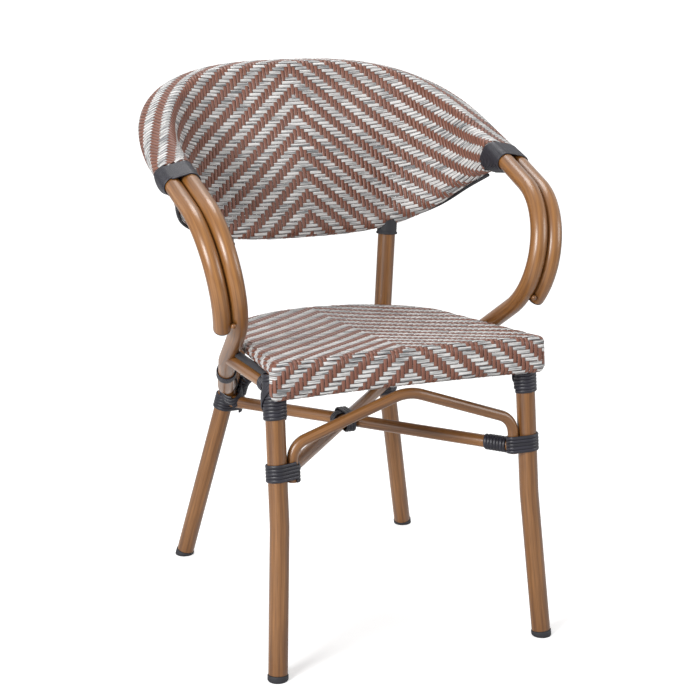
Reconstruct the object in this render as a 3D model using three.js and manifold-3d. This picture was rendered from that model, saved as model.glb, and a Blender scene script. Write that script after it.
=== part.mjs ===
// A stackable bistro armchair: bent tube frame, woven seat and woven tub back, corded joints.
// Millimetres, +Z up, the sitter faces -Y. Heights start at the floor; the plan starts between the four feet.
import * as THREE from 'three';
import { mergeVertices } from 'three/addons/utils/BufferGeometryUtils.js';
import Module from 'manifold-3d';

const wasm = await Module();
wasm.setup();

// Stock that every piece is cut from
const mainTube = 28;
const mainWall = 1.6;
const armTube = 24.8;
const armWall = 1.5;
const slimTube = 19;
const slimWall = 1.5;
const archTube = 16;
const archWall = 1.4;
const seatTube = 16;
const seatWall = 1.5;
const weaveThickness = 2.2;
const clearance = 0.3;
const cutOverrun = 40;

// Seat, measured over the weave
const seatFrontHeight = 460;
const seatFrontHalf = 210;
const seatFrontReach = 242;
const seatRearHalf = 181;
const seatRearDepth = 177;
const seatWaistSetback = 10;
const seatCornerRadius = 12.5;
const seatFrontHollow = 10;
const seatDish = 4;
const seatPitch = THREE.MathUtils.degToRad(4.65);
const apronHeight = 54;

// Legs
const footCapHeight = 8;
const footCapLip = 1;
const footPlugLength = 16;
const legTopGap = 0.8;
const frontLegInset = 17;
const frontLegSetback = 41;
const frontKneeHeight = 220;
const frontKneeSplay = 2;
const frontKneeThrow = 25;
const frontFootSplay = 16;
const frontFootThrow = 51;
const kneeRadius = 160;
const rearKneeHeight = 365;
const rearKneeInset = 57;
const rearKneeSetback = 12;
const rearFootSplay = 75;
const rearFootThrow = 79;
const uprightFlare = 15;
const uprightRadius = 90;

// Back: a tilted half hoop of two tubes above and a dished rail below
const hoopOverhang = 40.2;
const hoopSetback = 16.6;
const hoopDepth = 263.7;
const hoopSideHeight = 685;
const hoopRise = 110.2;
const hoopWidthPower = 0.682;
const hoopDepthPower = 0.613;
const hoopRisePower = 1.31;
const hoopReachShare = 0.9934;
const pairGap = 0.7;
const pairRake = THREE.MathUtils.degToRad(14);
const railCentreBack = 176;
const railCentreHeight = 555;
const railEndInset = 3;
const railEndDrop = 23.5;
const railWidthShares = [0, 0.35, 0.62, 0.81, 0.94, 1];
const railBackShares = [0, -0.07, -0.08, 0.13, 0.54, 1];
const railRiseShares = [0, 0, 0.08, 0.32, 0.71, 1];
const ferruleHeight = 13;
const ferruleWall = 1.6;
const ferruleWeb = 7;
const saddleWingShare = 0.35;

// Arms: from the back corner forward, round one big bend, and down beside the seat to the rear leg
const cornerRun = 29;
const cornerFall = 7;
const armStraight = 24;
const armLoopReach = 292;
const armLoopInset = 8.4;
const armLoopFall = 89.4;
const armLoopRadius = 103;
const armDipReach = 15;
const armDipClear = 5;
const armDipBelowSeat = 33;
const armHeelSetback = 92;
const armHeelHalf = 171;
const armHeelHeight = 333;
const armHeelRadius = 120;
const armFootHeight = 313;
const armOuterEndHeight = 489;
const armCapThickness = 2.5;
const armPlugLength = 9;
const armSpacerRadius = 4;
const armSpacerLift = 12;
const armCollarHeight = 6;
const armCollarWall = 2;
const armCollarOffset = 24;
const spigotHalfLength = 20;

// Arches and crossed stretchers
const archFootHeight = 280.5;
const archShoulderHeight = 332;
const archShoulderRadius = 30;
const archApexRadius = 60;
const rearArchFootHeight = 265;
const rearArchShoulderHeight = 311;
const rearArchShoulderRadius = 26;
const stretcherFrontHeight = 286;
const stretcherRearHeight = 280;
const sideRailDrop = 26.4;

// Binding cords: a flat cord's width and thickness, and the pitch of its turns
const broadCord = { width: 4.4, thickness: 2.2, pitch: 5 };
const fineCord = { width: 3.4, thickness: 1.8, pitch: 4 };
const sleeveCord = { width: 4.3, thickness: 1.8, pitch: 5 };
const frontBindingHeight = 281;
const rearBindingHeight = 264;
const topBindingHeight = 369;
const edgingDiameter = 5;

// Counts and finishes
const mainSides = 12;
const slimSides = 10;
const boreSides = 6;
const slimBoreSides = 6;
const cordSteps = 10;
const pairSteps = 4;
const lashingSteps = 6;
const bendStep = THREE.MathUtils.degToRad(15);
const hoopSteps = 22;
const hoopSamples = 90;
const steepShare = 0.9;
const cornerTurns = 10;
const legTurns = 5;
const sleeveTurns = 4;
const lashingTurns = 3;

const bamboo = { color: 0xb07e4c, roughness: 0.38, metalness: 0.1 };
const cordBlack = { color: 0x37373f, roughness: 0.45, metalness: 0 };
const plasticBlack = { color: 0x1c1c1e, roughness: 0.55, metalness: 0 };
const alloy = { color: 0xa8a8aa, roughness: 0.4, metalness: 0.9 };
const weaveBrown = { color: 0xa6877a, roughness: 0.7, metalness: 0 };

const mainRadius = mainTube / 2;
const armRadius = armTube / 2;
const slimRadius = slimTube / 2;
const archRadius = archTube / 2;
const seatTubeRadius = seatTube / 2;
const pairSpacing = armTube + pairGap;
const archOffset = mainRadius + archRadius + clearance * 2;
const up = new THREE.Vector3(0, 0, 1);
const at = (x, y, z) => new THREE.Vector3(x, y, z);
const between = (a, b, share) => a.clone().lerp(b, share);
const sideName = (side) => (side < 0 ? 'left' : 'right');

const chair = new THREE.Group();
chair.name = 'bistro_chair';
const seat = new THREE.Group();
chair.add(seat);

function addMesh(name, geometry, finish, parent = chair) {
  const mesh = new THREE.Mesh(geometry, new THREE.MeshStandardMaterial(finish));
  mesh.name = name;
  parent.add(mesh);
  return mesh;
}

// Bent centre lines

function bendCorner(before, corner, after, radius) {
  const back = before.clone().sub(corner).normalize();
  const ahead = after.clone().sub(corner).normalize();
  const opening = back.angleTo(ahead);
  const reach = radius / Math.tan(opening / 2);
  const middle = back.clone().add(ahead).normalize();
  const centre = corner.clone().addScaledVector(middle, radius / Math.sin(opening / 2));
  const first = corner.clone().addScaledVector(back, reach).sub(centre).normalize();
  const sweep = Math.PI - opening;
  const second = corner.clone().addScaledVector(ahead, reach).sub(centre).normalize();
  second.addScaledVector(first, -first.dot(second)).normalize();
  const steps = Math.max(1, Math.ceil(sweep / bendStep));
  return Array.from({ length: steps + 1 }, (_, i) => {
    const turn = (sweep * i) / steps;
    return centre.clone()
      .addScaledVector(first, radius * Math.cos(turn))
      .addScaledVector(second, radius * Math.sin(turn));
  });
}

function bentLine(corners, radii) {
  const points = [corners[0].clone()];
  for (let i = 1; i < corners.length - 1; i += 1) {
    points.push(...bendCorner(corners[i - 1], corners[i], corners[i + 1], radii[i - 1]));
  }
  points.push(corners[corners.length - 1].clone());
  return points;
}

// Carries one cross-section from point to point without twist
class CentreLine extends THREE.Curve {
  constructor(points) {
    super();
    this.points = points;
  }

  getPoint(share) {
    const place = share * (this.points.length - 1);
    const index = Math.min(Math.floor(place), this.points.length - 2);
    return between(this.points[index], this.points[index + 1], place - index);
  }

  getSpacedPoints() {
    return this.points;
  }

  tangentAt(index) {
    const last = this.points.length - 1;
    const behind = this.points[index].clone().sub(this.points[Math.max(index - 1, 0)]).normalize();
    const ahead = this.points[Math.min(index + 1, last)].clone().sub(this.points[index]).normalize();
    return behind.add(ahead).normalize();
  }

  computeFrenetFrames() {
    const tangents = this.points.map((_, i) => this.tangentAt(i));
    const seed = Math.abs(tangents[0].z) < steepShare ? up : at(1, 0, 0);
    const normals = [seed.clone().cross(tangents[0]).normalize()];
    for (let i = 1; i < tangents.length; i += 1) {
      const turn = new THREE.Quaternion().setFromUnitVectors(tangents[i - 1], tangents[i]);
      const normal = normals[i - 1].clone().applyQuaternion(turn);
      normals.push(normal.addScaledVector(tangents[i], -normal.dot(tangents[i])).normalize());
    }
    const binormals = tangents.map((tangent, i) => tangent.clone().cross(normals[i]));
    return { tangents, normals, binormals };
  }
}

function ringPoints(radius, sides) {
  return Array.from({ length: sides }, (_, i) => {
    const angle = (2 * Math.PI * (i + 0.5)) / sides;
    return new THREE.Vector2(radius * Math.cos(angle), radius * Math.sin(angle));
  });
}

function tubeGeometry(points, diameter, wall, sides, bore) {
  const section = new THREE.Shape(ringPoints(diameter / 2, sides));
  if (wall > 0) section.holes.push(new THREE.Path(ringPoints(diameter / 2 - wall, bore)));
  const extrudePath = new CentreLine(points);
  return new THREE.ExtrudeGeometry(section, { steps: points.length - 1, extrudePath, bevelEnabled: false });
}

const mainTubeGeometry = (points) => tubeGeometry(points, mainTube, mainWall, mainSides, boreSides);
const armTubeGeometry = (points) => tubeGeometry(points, armTube, armWall, mainSides, boreSides);
const slimTubeGeometry = (points) => tubeGeometry(points, slimTube, slimWall, slimSides, slimBoreSides);
const archTubeGeometry = (points) => tubeGeometry(points, archTube, archWall, slimSides, slimBoreSides);
const seatTubeGeometry = (points) => tubeGeometry(points, seatTube, seatWall, slimSides, slimBoreSides);
const solidRod = (points, diameter, sides) => tubeGeometry(points, diameter, 0, sides);

// Cuts by solids

function toSolid(geometry) {
  const bare = geometry.clone();
  bare.deleteAttribute('normal');
  bare.deleteAttribute('uv');
  const merged = mergeVertices(bare);
  return new wasm.Manifold(new wasm.Mesh({
    numProp: 3,
    vertProperties: Float32Array.from(merged.attributes.position.array),
    triVerts: Uint32Array.from(merged.index.array),
  }));
}

function cutAway(geometry, ...tools) {
  let solid = toSolid(geometry);
  for (const tool of tools) solid = solid.subtract(toSolid(tool));
  const mesh = solid.getMesh();
  const result = new THREE.BufferGeometry();
  result.setAttribute('position', new THREE.BufferAttribute(Float32Array.from(mesh.vertProperties), 3));
  result.setIndex(new THREE.BufferAttribute(Uint32Array.from(mesh.triVerts), 1));
  result.computeVertexNormals();
  return result;
}

// Sheets: two skins over a grid of points, closed round their edges

function closedShell(points, triangles) {
  const positions = triangles.flatMap((corners) => corners.flatMap((i) => points[i].toArray()));
  let geometry = new THREE.BufferGeometry();
  geometry.setAttribute('position', new THREE.BufferAttribute(new Float32Array(positions), 3));
  geometry = mergeVertices(geometry);
  const index = Array.from(geometry.index.array);
  const kept = [];
  let volume = 0;
  const corner = [at(0, 0, 0), at(0, 0, 0), at(0, 0, 0)];
  for (let i = 0; i < index.length; i += 3) {
    const [a, b, c] = index.slice(i, i + 3);
    if (a === b || b === c || c === a) continue;
    corner.forEach((point, j) => point.fromBufferAttribute(geometry.attributes.position, index[i + j]));
    volume += corner[0].dot(corner[1].clone().cross(corner[2]));
    kept.push([a, b, c]);
  }
  geometry.setIndex(kept.flatMap(([a, b, c]) => (volume < 0 ? [a, c, b] : [a, b, c])));
  geometry.computeVertexNormals();
  return geometry;
}

function thickSheet(outer, inner, around = false) {
  const rows = outer.length;
  const columns = outer[0].length;
  const points = [...outer.flat(), ...inner.flat()];
  const node = (row, column, skin) => skin * rows * columns + (row % rows) * columns + column;
  const triangles = [];
  const quad = (a, b, c, d) => triangles.push([a, b, c], [a, c, d]);
  const spans = around ? rows : rows - 1;
  for (let row = 0; row < spans; row += 1) {
    for (let column = 0; column < columns - 1; column += 1) {
      const corners = [[row, column], [row + 1, column], [row + 1, column + 1], [row, column + 1]];
      quad(...corners.map(([i, j]) => node(i, j, 0)));
      quad(...[corners[0], corners[3], corners[2], corners[1]].map(([i, j]) => node(i, j, 1)));
    }
    const last = columns - 1;
    quad(node(row, 0, 0), node(row, 0, 1), node(row + 1, 0, 1), node(row + 1, 0, 0));
    quad(node(row, last, 0), node(row + 1, last, 0), node(row + 1, last, 1), node(row, last, 1));
  }
  if (!around) {
    const end = rows - 1;
    for (let column = 0; column < columns - 1; column += 1) {
      quad(node(0, column, 0), node(0, column + 1, 0), node(0, column + 1, 1), node(0, column, 1));
      quad(node(end, column, 0), node(end, column, 1), node(end, column + 1, 1), node(end, column + 1, 0));
    }
  }
  return closedShell(points, triangles);
}

// Windings: one flat cord laid turn by turn round a bundle of tubes

function roundOff(tube, from, to, steps, lift) {
  const swing = (to - from) / steps;
  const reach = (tube.radius + clearance) / Math.cos(swing / 2) + lift;
  return Array.from({ length: steps + 1 }, (_, i) => {
    const angle = from + swing * i;
    return new THREE.Vector2(Math.cos(angle), Math.sin(angle)).multiplyScalar(reach).add(tube.centre);
  });
}

function turnOutline([near, far], lift, steps) {
  if (!far) return roundOff(near, 0, 2 * Math.PI, cordSteps, lift).slice(1);
  const touch = Math.acos((near.radius - far.radius) / far.centre.distanceTo(near.centre));
  return [
    ...roundOff(far, -touch, touch, steps, lift),
    ...roundOff(near, touch, 2 * Math.PI - touch, steps, lift),
  ];
}

function leastGap(first, second, perTurn) {
  let least = Infinity;
  for (let i = 0; i + perTurn < first.length; i += 1) {
    for (let j = -1; j <= 1; j += 1) {
      const next = second[Math.min(i + perTurn + j, second.length - 1)];
      least = Math.min(least, first[i].distanceTo(next));
    }
  }
  return least;
}

function windingGeometry(name, frame, circles, turns, cord, steps) {
  const [innerTurn, outerTurn] = [0, cord.thickness].map((lift) => turnOutline(circles, lift, steps));
  const perTurn = innerTurn.length;
  const place = (flat, along) => frame.origin.clone()
    .addScaledVector(frame.across, flat.x)
    .addScaledVector(frame.beside, flat.y)
    .addScaledVector(frame.along, along);
  const skin = (outline) => Array.from({ length: turns * perTurn + 1 }, (_, i) => {
    const rise = (cord.pitch * i) / perTurn;
    return [rise, rise + cord.width].map((along) => place(outline[i % perTurn], along));
  });
  const outer = skin(outerTurn);
  const gap = leastGap(outer.map((row) => row[1]), outer.map((row) => row[0]), perTurn);
  console.log(`${name}: least gap between turns ${gap.toFixed(2)} mm`);
  return thickSheet(outer, skin(innerTurn));
}

// The room that a finished binding takes, for tubes that end against it
function bundleTool(frame, circles, lift, length) {
  const outline = new THREE.Shape(turnOutline(circles, lift, pairSteps));
  const solid = new THREE.ExtrudeGeometry(outline, { depth: length, bevelEnabled: false });
  const place = new THREE.Matrix4().makeBasis(frame.across, frame.beside, frame.along);
  solid.applyMatrix4(place.setPosition(frame.origin));
  return solid;
}

function frameAlong(origin, along, towards) {
  const direction = along.clone().normalize();
  const across = towards.clone().addScaledVector(direction, -towards.dot(direction)).normalize();
  return { origin, along: direction, across, beside: direction.clone().cross(across) };
}

function addWinding(name, frame, circles, turns, cord, steps = pairSteps) {
  return addMesh(name, windingGeometry(name, frame, circles, turns, cord, steps), cordBlack);
}

const circle = (x, y, radius) => ({ centre: new THREE.Vector2(x, y), radius });

// Seat plane: local places, measured over the weave, to the chair's own frame

const seatOriginHeight = seatFrontHeight - seatFrontReach * Math.sin(seatPitch);
seat.position.set(0, 0, seatOriginHeight);
seat.rotation.x = -seatPitch;
seat.updateMatrix();
const fromSeat = (x, y, z) => at(x, y, z).applyMatrix4(seat.matrix);
const foldRadius = seatTubeRadius + 2 * clearance;
const foldSteps = 6;
const foldInside = foldRadius / Math.cos(Math.PI / foldSteps / 2);
const foldOutside = foldInside + weaveThickness;
const seatSlope = (seatFrontHalf - seatRearHalf) / (seatFrontReach + seatWaistSetback);
const seatHalfAt = (y) => seatRearHalf + (seatWaistSetback - y) * seatSlope;

// Legs, as centre lines that other pieces are placed from

const frontTop = fromSeat(0, -seatFrontReach + frontLegSetback, -2 * foldOutside - legTopGap);
const frontTopHalf = seatFrontHalf - frontLegInset;
const seatRearY = seatWaistSetback + seatRearDepth;
const rearKneeHalf = seatRearHalf - rearKneeInset;
const rearKneeY = seatRearY - rearKneeSetback;
const uprightHalf = rearKneeHalf + uprightFlare;

const hoopHalf = seatFrontHalf + hoopOverhang;
function hoopPoint(share) {
  const turn = (share * Math.PI) / 2;
  const depth = Math.cos(turn) ** hoopDepthPower;
  const x = Math.sign(share) * hoopHalf * Math.abs(Math.sin(turn)) ** hoopWidthPower;
  return at(x, hoopSetback + hoopDepth * depth, hoopSideHeight + hoopRise * depth ** hoopRisePower);
}

const hoopEnd = (side) => hoopPoint(side * hoopReachShare);
const cornerPoint = (side) => hoopEnd(side).add(at(0, -cornerRun, -cornerFall));
const cornerDirection = at(0, -cornerRun, -cornerFall).normalize();
const cornerBandLength = cornerTurns * fineCord.pitch + fineCord.width;
const railEnd = hoopEnd(1).add(at(-railEndInset, 0, -railEndDrop));

function lowerRailPoints(steps) {
  const half = railWidthShares.map((share, i) => at(
    share * railEnd.x,
    railCentreBack - railBackShares[i] * (railCentreBack - railEnd.y),
    railCentreHeight + railRiseShares[i] * (railEnd.z - railCentreHeight),
  ));
  const mirrored = half.slice(1).reverse().map((point) => at(-point.x, point.y, point.z));
  const spline = new THREE.CatmullRomCurve3([...mirrored, ...half], false, 'centripetal');
  return spline.getSpacedPoints(steps);
}

const railPoints = lowerRailPoints(hoopSteps);
const coverSteps = 5;
const widestCoverStep = THREE.MathUtils.degToRad(45);
const topFold = (armRadius + 2 * clearance) / Math.cos(widestCoverStep / 2);
const railFold = (slimRadius + 4 * clearance) / Math.cos(widestCoverStep / 2);
const railWrap = railFold + weaveThickness + clearance;

function railPointAt(x) {
  const index = railPoints.findIndex((point, i) => i > 0 && point.x >= x);
  const before = railPoints[index - 1];
  const after = railPoints[index];
  return between(before, after, (x - before.x) / (after.x - before.x));
}

const railOverUpright = railPointAt(uprightHalf);
const uprightTop = railOverUpright.clone().addScaledVector(up, -railWrap - clearance - ferruleWeb);

const frontLegCorners = (side) => [
  at(side * (frontTopHalf + frontFootSplay), frontTop.y - frontFootThrow, 0),
  at(side * (frontTopHalf + frontKneeSplay), frontTop.y - frontKneeThrow, frontKneeHeight),
  at(side * frontTopHalf, frontTop.y, frontTop.z),
];
const rearLegCorners = (side) => [
  at(side * (rearKneeHalf + rearFootSplay), rearKneeY + rearFootThrow, 0),
  at(side * rearKneeHalf, rearKneeY, rearKneeHeight),
  at(side * uprightHalf, uprightTop.y, uprightTop.z),
];

function onLeg(corners, height) {
  const [low, knee, top] = corners;
  return height < knee.z
    ? between(low, knee, height / knee.z)
    : between(knee, top, (height - knee.z) / (top.z - knee.z));
}

function footStart(corners) {
  return onLeg(corners, footCapHeight + clearance);
}

const floorCut = new THREE.BoxGeometry(cutOverrun * 2, cutOverrun * 2, cutOverrun);

function addFoot(name, corners) {
  const axis = corners[1].clone().sub(corners[0]).normalize();
  const lip = mainRadius + footCapLip;
  const core = (mainRadius - mainWall) * Math.cos(Math.PI / boreSides) - clearance;
  const profile = [
    new THREE.Vector2(0, -cutOverrun / 2),
    new THREE.Vector2(lip, -cutOverrun / 2),
    new THREE.Vector2(lip, 0),
    new THREE.Vector2(core, 0),
    new THREE.Vector2(core, footPlugLength),
    new THREE.Vector2(0, footPlugLength),
  ];
  const cap = new THREE.LatheGeometry(profile, mainSides);
  const lean = new THREE.Quaternion().setFromUnitVectors(at(0, 1, 0), axis);
  cap.applyQuaternion(lean);
  const seatPoint = footStart(corners).addScaledVector(axis, -clearance);
  cap.translate(seatPoint.x, seatPoint.y, seatPoint.z);
  const floor = floorCut.clone().translate(corners[0].x, corners[0].y, -cutOverrun / 2);
  addMesh(name, cutAway(cap, floor), plasticBlack);
}

function addLegs(side) {
  const word = sideName(side);
  const front = frontLegCorners(side);
  const frontLine = bentLine([footStart(front), front[1], front[2]], [kneeRadius]);
  addMesh(`front_leg_${word}`, mainTubeGeometry(frontLine), bamboo);
  addFoot(`front_foot_cap_${word}`, front);
  const rear = rearLegCorners(side);
  const rearLine = bentLine([footStart(rear), rear[1], rear[2]], [uprightRadius]);
  addMesh(`rear_leg_${word}`, mainTubeGeometry(rearLine), bamboo);
  addFoot(`rear_foot_cap_${word}`, rear);
}

// Sleeve or cup turned round an axis, placed along a direction

function turned(profile, origin, direction) {
  const outline = profile.map(([radius, height]) => new THREE.Vector2(radius, height));
  const geometry = new THREE.LatheGeometry(outline, mainSides);
  const way = direction.clone().normalize();
  geometry.applyQuaternion(new THREE.Quaternion().setFromUnitVectors(at(0, 1, 0), way));
  return geometry.translate(origin.x, origin.y, origin.z);
}

function addTurned(name, profile, origin, direction, finish) {
  return addMesh(name, turned(profile, origin, direction), finish);
}

const snugAround = (radius) => (radius + clearance) / Math.cos(Math.PI / mainSides);

function addFerrule(side) {
  const [, knee, top] = rearLegCorners(side);
  const direction = top.clone().sub(knee);
  const snug = snugAround(mainRadius);
  const outside = snug + ferruleWall;
  const wingTop = ferruleWeb + saddleWingShare * railWrap;
  const cup = turned([
    [0, clearance],
    [snug, clearance],
    [snug, -ferruleHeight],
    [outside, -ferruleHeight],
    [outside, wingTop],
    [0, wingTop],
  ], top, direction);
  const saddle = solidRod(railPoints, (2 * railWrap) / Math.cos(Math.PI / mainSides), mainSides);
  addMesh(`upright_ferrule_${sideName(side)}`, cutAway(cup, saddle), plasticBlack);
}

// Back hoop: the inner tube's centre line and the frame of each of its sections

function sectionFrames(points) {
  const line = new CentreLine(points);
  return points.map((origin, i) => {
    const along = line.tangentAt(i);
    const out = along.clone().cross(up).normalize().negate();
    return { origin, along, out, above: along.clone().cross(out).normalize() };
  });
}

const hoopShareAt = (index) => hoopReachShare * ((2 * index) / hoopSamples - 1);
const hoopShares = Array.from({ length: hoopSamples + 1 }, (_, i) => hoopShareAt(i));
const hoopCurve = new THREE.CatmullRomCurve3(hoopShares.map(hoopPoint), false, 'centripetal');
const hoopLine = [cornerPoint(-1), ...hoopCurve.getSpacedPoints(hoopSteps), cornerPoint(1)];

function outwardFrames(points) {
  return sectionFrames(points).map((frame) => {
    const inward = frame.origin.x * frame.out.x + (frame.origin.y - hoopSetback) * frame.out.y < 0;
    const out = inward ? frame.out.negate() : frame.out;
    const above = frame.above.z < 0 ? frame.above.negate() : frame.above;
    return { origin: frame.origin, out, above };
  });
}

const hoopFrames = outwardFrames(hoopLine);
const lastFrame = hoopFrames.length - 1;
hoopFrames[1] = { ...hoopFrames[0], origin: hoopFrames[1].origin };
hoopFrames[lastFrame - 1] = { ...hoopFrames[lastFrame], origin: hoopFrames[lastFrame - 1].origin };
const rakeOf = (frame) => pairRake * (1 - Math.max(0, (frame.origin.y - hoopSetback) / hoopDepth) ** 3);
const pairShift = (frame) => frame.out.clone().multiplyScalar(pairSpacing * Math.cos(rakeOf(frame)))
  .addScaledVector(frame.above, -pairSpacing * Math.sin(rakeOf(frame)));
const outerLine = hoopFrames.map((frame) => frame.origin.clone().add(pairShift(frame)));
const cornerShift = (side) => pairShift(hoopFrames[side < 0 ? 0 : lastFrame]);

function shortened(points, amount) {
  const first = points[0].clone().addScaledVector(points[1].clone().sub(points[0]).normalize(), amount);
  const end = points.length - 1;
  const back = points[end - 1].clone().sub(points[end]).normalize();
  const last = points[end].clone().addScaledVector(back, amount);
  return [first, ...points.slice(1, end), last];
}

function addBackRails() {
  addMesh('top_rail_inner', armTubeGeometry(shortened(hoopLine, clearance / 2)), bamboo);
  addMesh('top_rail_outer', armTubeGeometry(shortened(outerLine, clearance / 2)), bamboo);
  addMesh('back_lower_rail', slimTubeGeometry(railPoints), bamboo);
}

// Woven back: a sheet that folds over both top tubes and under the lower rail

const backHemAngle = THREE.MathUtils.degToRad(100);
const tubeHemAngle = THREE.MathUtils.degToRad(95);
const openBackHeight = 90;
const leastHemSweep = 1;
const leastHemShare = 0.2;

function around(frame, centre, radius, angle) {
  return centre.clone()
    .addScaledVector(frame.out, radius * Math.cos(angle))
    .addScaledVector(frame.above, radius * Math.sin(angle));
}

function backSection(topFrame, railFrame, lift) {
  const radii = [topFold + lift, railFold + lift];
  const shift = pairShift(topFrame);
  const drop = railFrame.origin.clone().sub(topFrame.origin);
  const flat = new THREE.Vector2(drop.dot(topFrame.out), drop.dot(topFrame.above));
  const lean = Math.atan2(flat.y, flat.x) - Math.acos((radii[0] - radii[1]) / flat.length()) + 2 * Math.PI;
  const openness = Math.min(1, Math.max(0, (flat.length() - armTube) / openBackHeight));
  const crown = Math.PI / 2 - rakeOf(topFrame);
  const outerStart = -tubeHemAngle * (leastHemShare + (1 - leastHemShare) * openness);
  const hemEnd = 1.5 * Math.PI + backHemAngle * openness;
  const points = [];
  const arc = (frame, centre, radius, from, to) => {
    for (let i = 0; i <= coverSteps; i += 1) {
      points.push(around(frame, centre, radius, from + ((to - from) * i) / coverSteps));
    }
  };
  arc(topFrame, topFrame.origin.clone().add(shift), radii[0], outerStart, crown);
  arc(topFrame, topFrame.origin, radii[0], crown, lean);
  arc(railFrame, railFrame.origin, radii[1], lean, Math.max(hemEnd, lean + leastHemSweep));
  return points;
}

function besideBand(side) {
  return cornerPoint(side).addScaledVector(cornerDirection, -cornerBandLength / 2 - clearance);
}

const coveredFrames = [
  { ...hoopFrames[0], origin: besideBand(-1) },
  ...hoopFrames.slice(2, -2),
  { ...hoopFrames[lastFrame], origin: besideBand(1) },
];
const railFrames = outwardFrames(railPoints);

function addBackPanel() {
  const skin = (lift) => coveredFrames.map((frame, i) => backSection(frame, railFrames[i], lift));
  addMesh('woven_back', thickSheet(skin(weaveThickness), skin(0)), weaveBrown);
  const edgeLift = railFold + weaveThickness + clearance + edgingDiameter / 2;
  const edging = railFrames.slice(1, -1).map((frame) => around(frame, frame.origin, edgeLift, 0));
  addMesh('back_edging', solidRod(edging, edgingDiameter, slimBoreSides), cordBlack);
}

// Arms

function armCorners(side) {
  const corner = cornerPoint(side);
  const run = corner.clone().addScaledVector(cornerDirection, armStraight);
  const dipHalf = seatHalfAt(-armDipReach) + armDipClear + armRadius;
  const leg = onLeg(rearLegCorners(side), armFootHeight);
  return [
    corner,
    run,
    at(corner.x - side * armLoopInset, corner.y - armLoopReach, corner.z - armLoopFall),
    at(side * dipHalf, -armDipReach, seatOriginHeight - armDipBelowSeat),
    at(side * armHeelHalf, armHeelSetback, armHeelHeight),
    leg,
  ];
}

const armRadii = [armLoopRadius, armLoopRadius, armLoopRadius, armHeelRadius];
const innerArmLine = (side) => bentLine(armCorners(side), armRadii);

function outerArmLine(side) {
  const line = innerArmLine(side).map((point) => point.add(cornerShift(side)));
  const turn = line.findIndex((point) => point.z < armOuterEndHeight);
  const before = line[turn - 1];
  const direction = line[turn].clone().sub(before).normalize();
  const length = Math.max(armPlugLength + 2 * clearance, (armOuterEndHeight - before.z) / direction.z);
  return [...line.slice(0, turn), before.clone().addScaledVector(direction, length)];
}

function startLater(points, amount) {
  const first = points[0].clone().addScaledVector(points[1].clone().sub(points[0]).normalize(), amount);
  return [first, ...points.slice(1)];
}

function addArm(side) {
  const word = sideName(side);
  const legLine = bentLine(rearLegCorners(side), [uprightRadius]);
  const legTool = solidRod(legLine, mainTube + 2 * clearance, mainSides);
  const inner = startLater(innerArmLine(side), clearance / 2);
  addMesh(`arm_${word}`, cutAway(armTubeGeometry(inner), legTool), bamboo);
  const outer = startLater(outerArmLine(side), clearance / 2);
  addMesh(`outer_arm_${word}`, armTubeGeometry(outer), bamboo);
  addArmPlug(word, outer);
  addSpacer(side);
  addCollar(side);
}

const armCore = (armRadius - armWall) * Math.cos(Math.PI / boreSides) - clearance;

function addArmPlug(word, line) {
  const end = line[line.length - 1];
  const direction = end.clone().sub(line[line.length - 2]);
  addTurned(`arm_end_plug_${word}`, [
    [0, -armPlugLength],
    [armCore, -armPlugLength],
    [armCore, clearance],
    [armRadius, clearance],
    [armRadius, clearance + armCapThickness],
    [0, clearance + armCapThickness],
  ], end, direction, plasticBlack);
}

function addSpacer(side) {
  const shift = cornerShift(side);
  const outer = outerArmLine(side);
  const end = outer[outer.length - 1];
  const direction = end.clone().sub(outer[outer.length - 2]).normalize();
  const middle = end.clone().addScaledVector(direction, -armSpacerLift).addScaledVector(shift, -0.5);
  const forward = shift.clone().cross(direction).normalize();
  if (forward.y > 0) forward.negate();
  const reach = armRadius + armSpacerRadius + clearance;
  const depth = Math.sqrt(reach ** 2 - (pairSpacing / 2) ** 2);
  const ball = new THREE.SphereGeometry(armSpacerRadius, mainSides, slimBoreSides);
  const bead = addMesh(`arm_spacer_${sideName(side)}`, ball, bamboo);
  bead.position.copy(middle.addScaledVector(forward, depth));
}

function addCollar(side) {
  const line = innerArmLine(side);
  const end = line[line.length - 1];
  const direction = end.clone().sub(line[line.length - 2]).normalize();
  const place = end.clone().addScaledVector(direction, -mainRadius - armCollarOffset);
  const snug = snugAround(armRadius);
  const outside = snug + armCollarWall;
  addTurned(`arm_collar_${sideName(side)}`, [
    [snug, 0],
    [outside, 0],
    [outside, armCollarHeight],
    [snug, armCollarHeight],
    [snug, 0],
  ], place, direction, plasticBlack);
}

function addSpigots(side) {
  const word = sideName(side);
  const profile = [
    [0, -spigotHalfLength],
    [armCore, -spigotHalfLength],
    [armCore, spigotHalfLength],
    [0, spigotHalfLength],
  ];
  const inner = cornerPoint(side);
  addTurned(`inner_joint_spigot_${word}`, profile, inner, cornerDirection, alloy);
  const outer = inner.clone().add(cornerShift(side));
  addTurned(`outer_joint_spigot_${word}`, profile, outer, cornerDirection, alloy);
}

// Seat: outline stations with their outward normals, from the front middle round the rear and back

const arcSteps = 14;
const cornerSteps = 4;
const frontShares = [0, 0.3, 0.6, 0.85];
const sideShares = [0.35, 0.7];
const hoopEndShare = 0.28;
const frontRailShare = 0.6;

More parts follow.
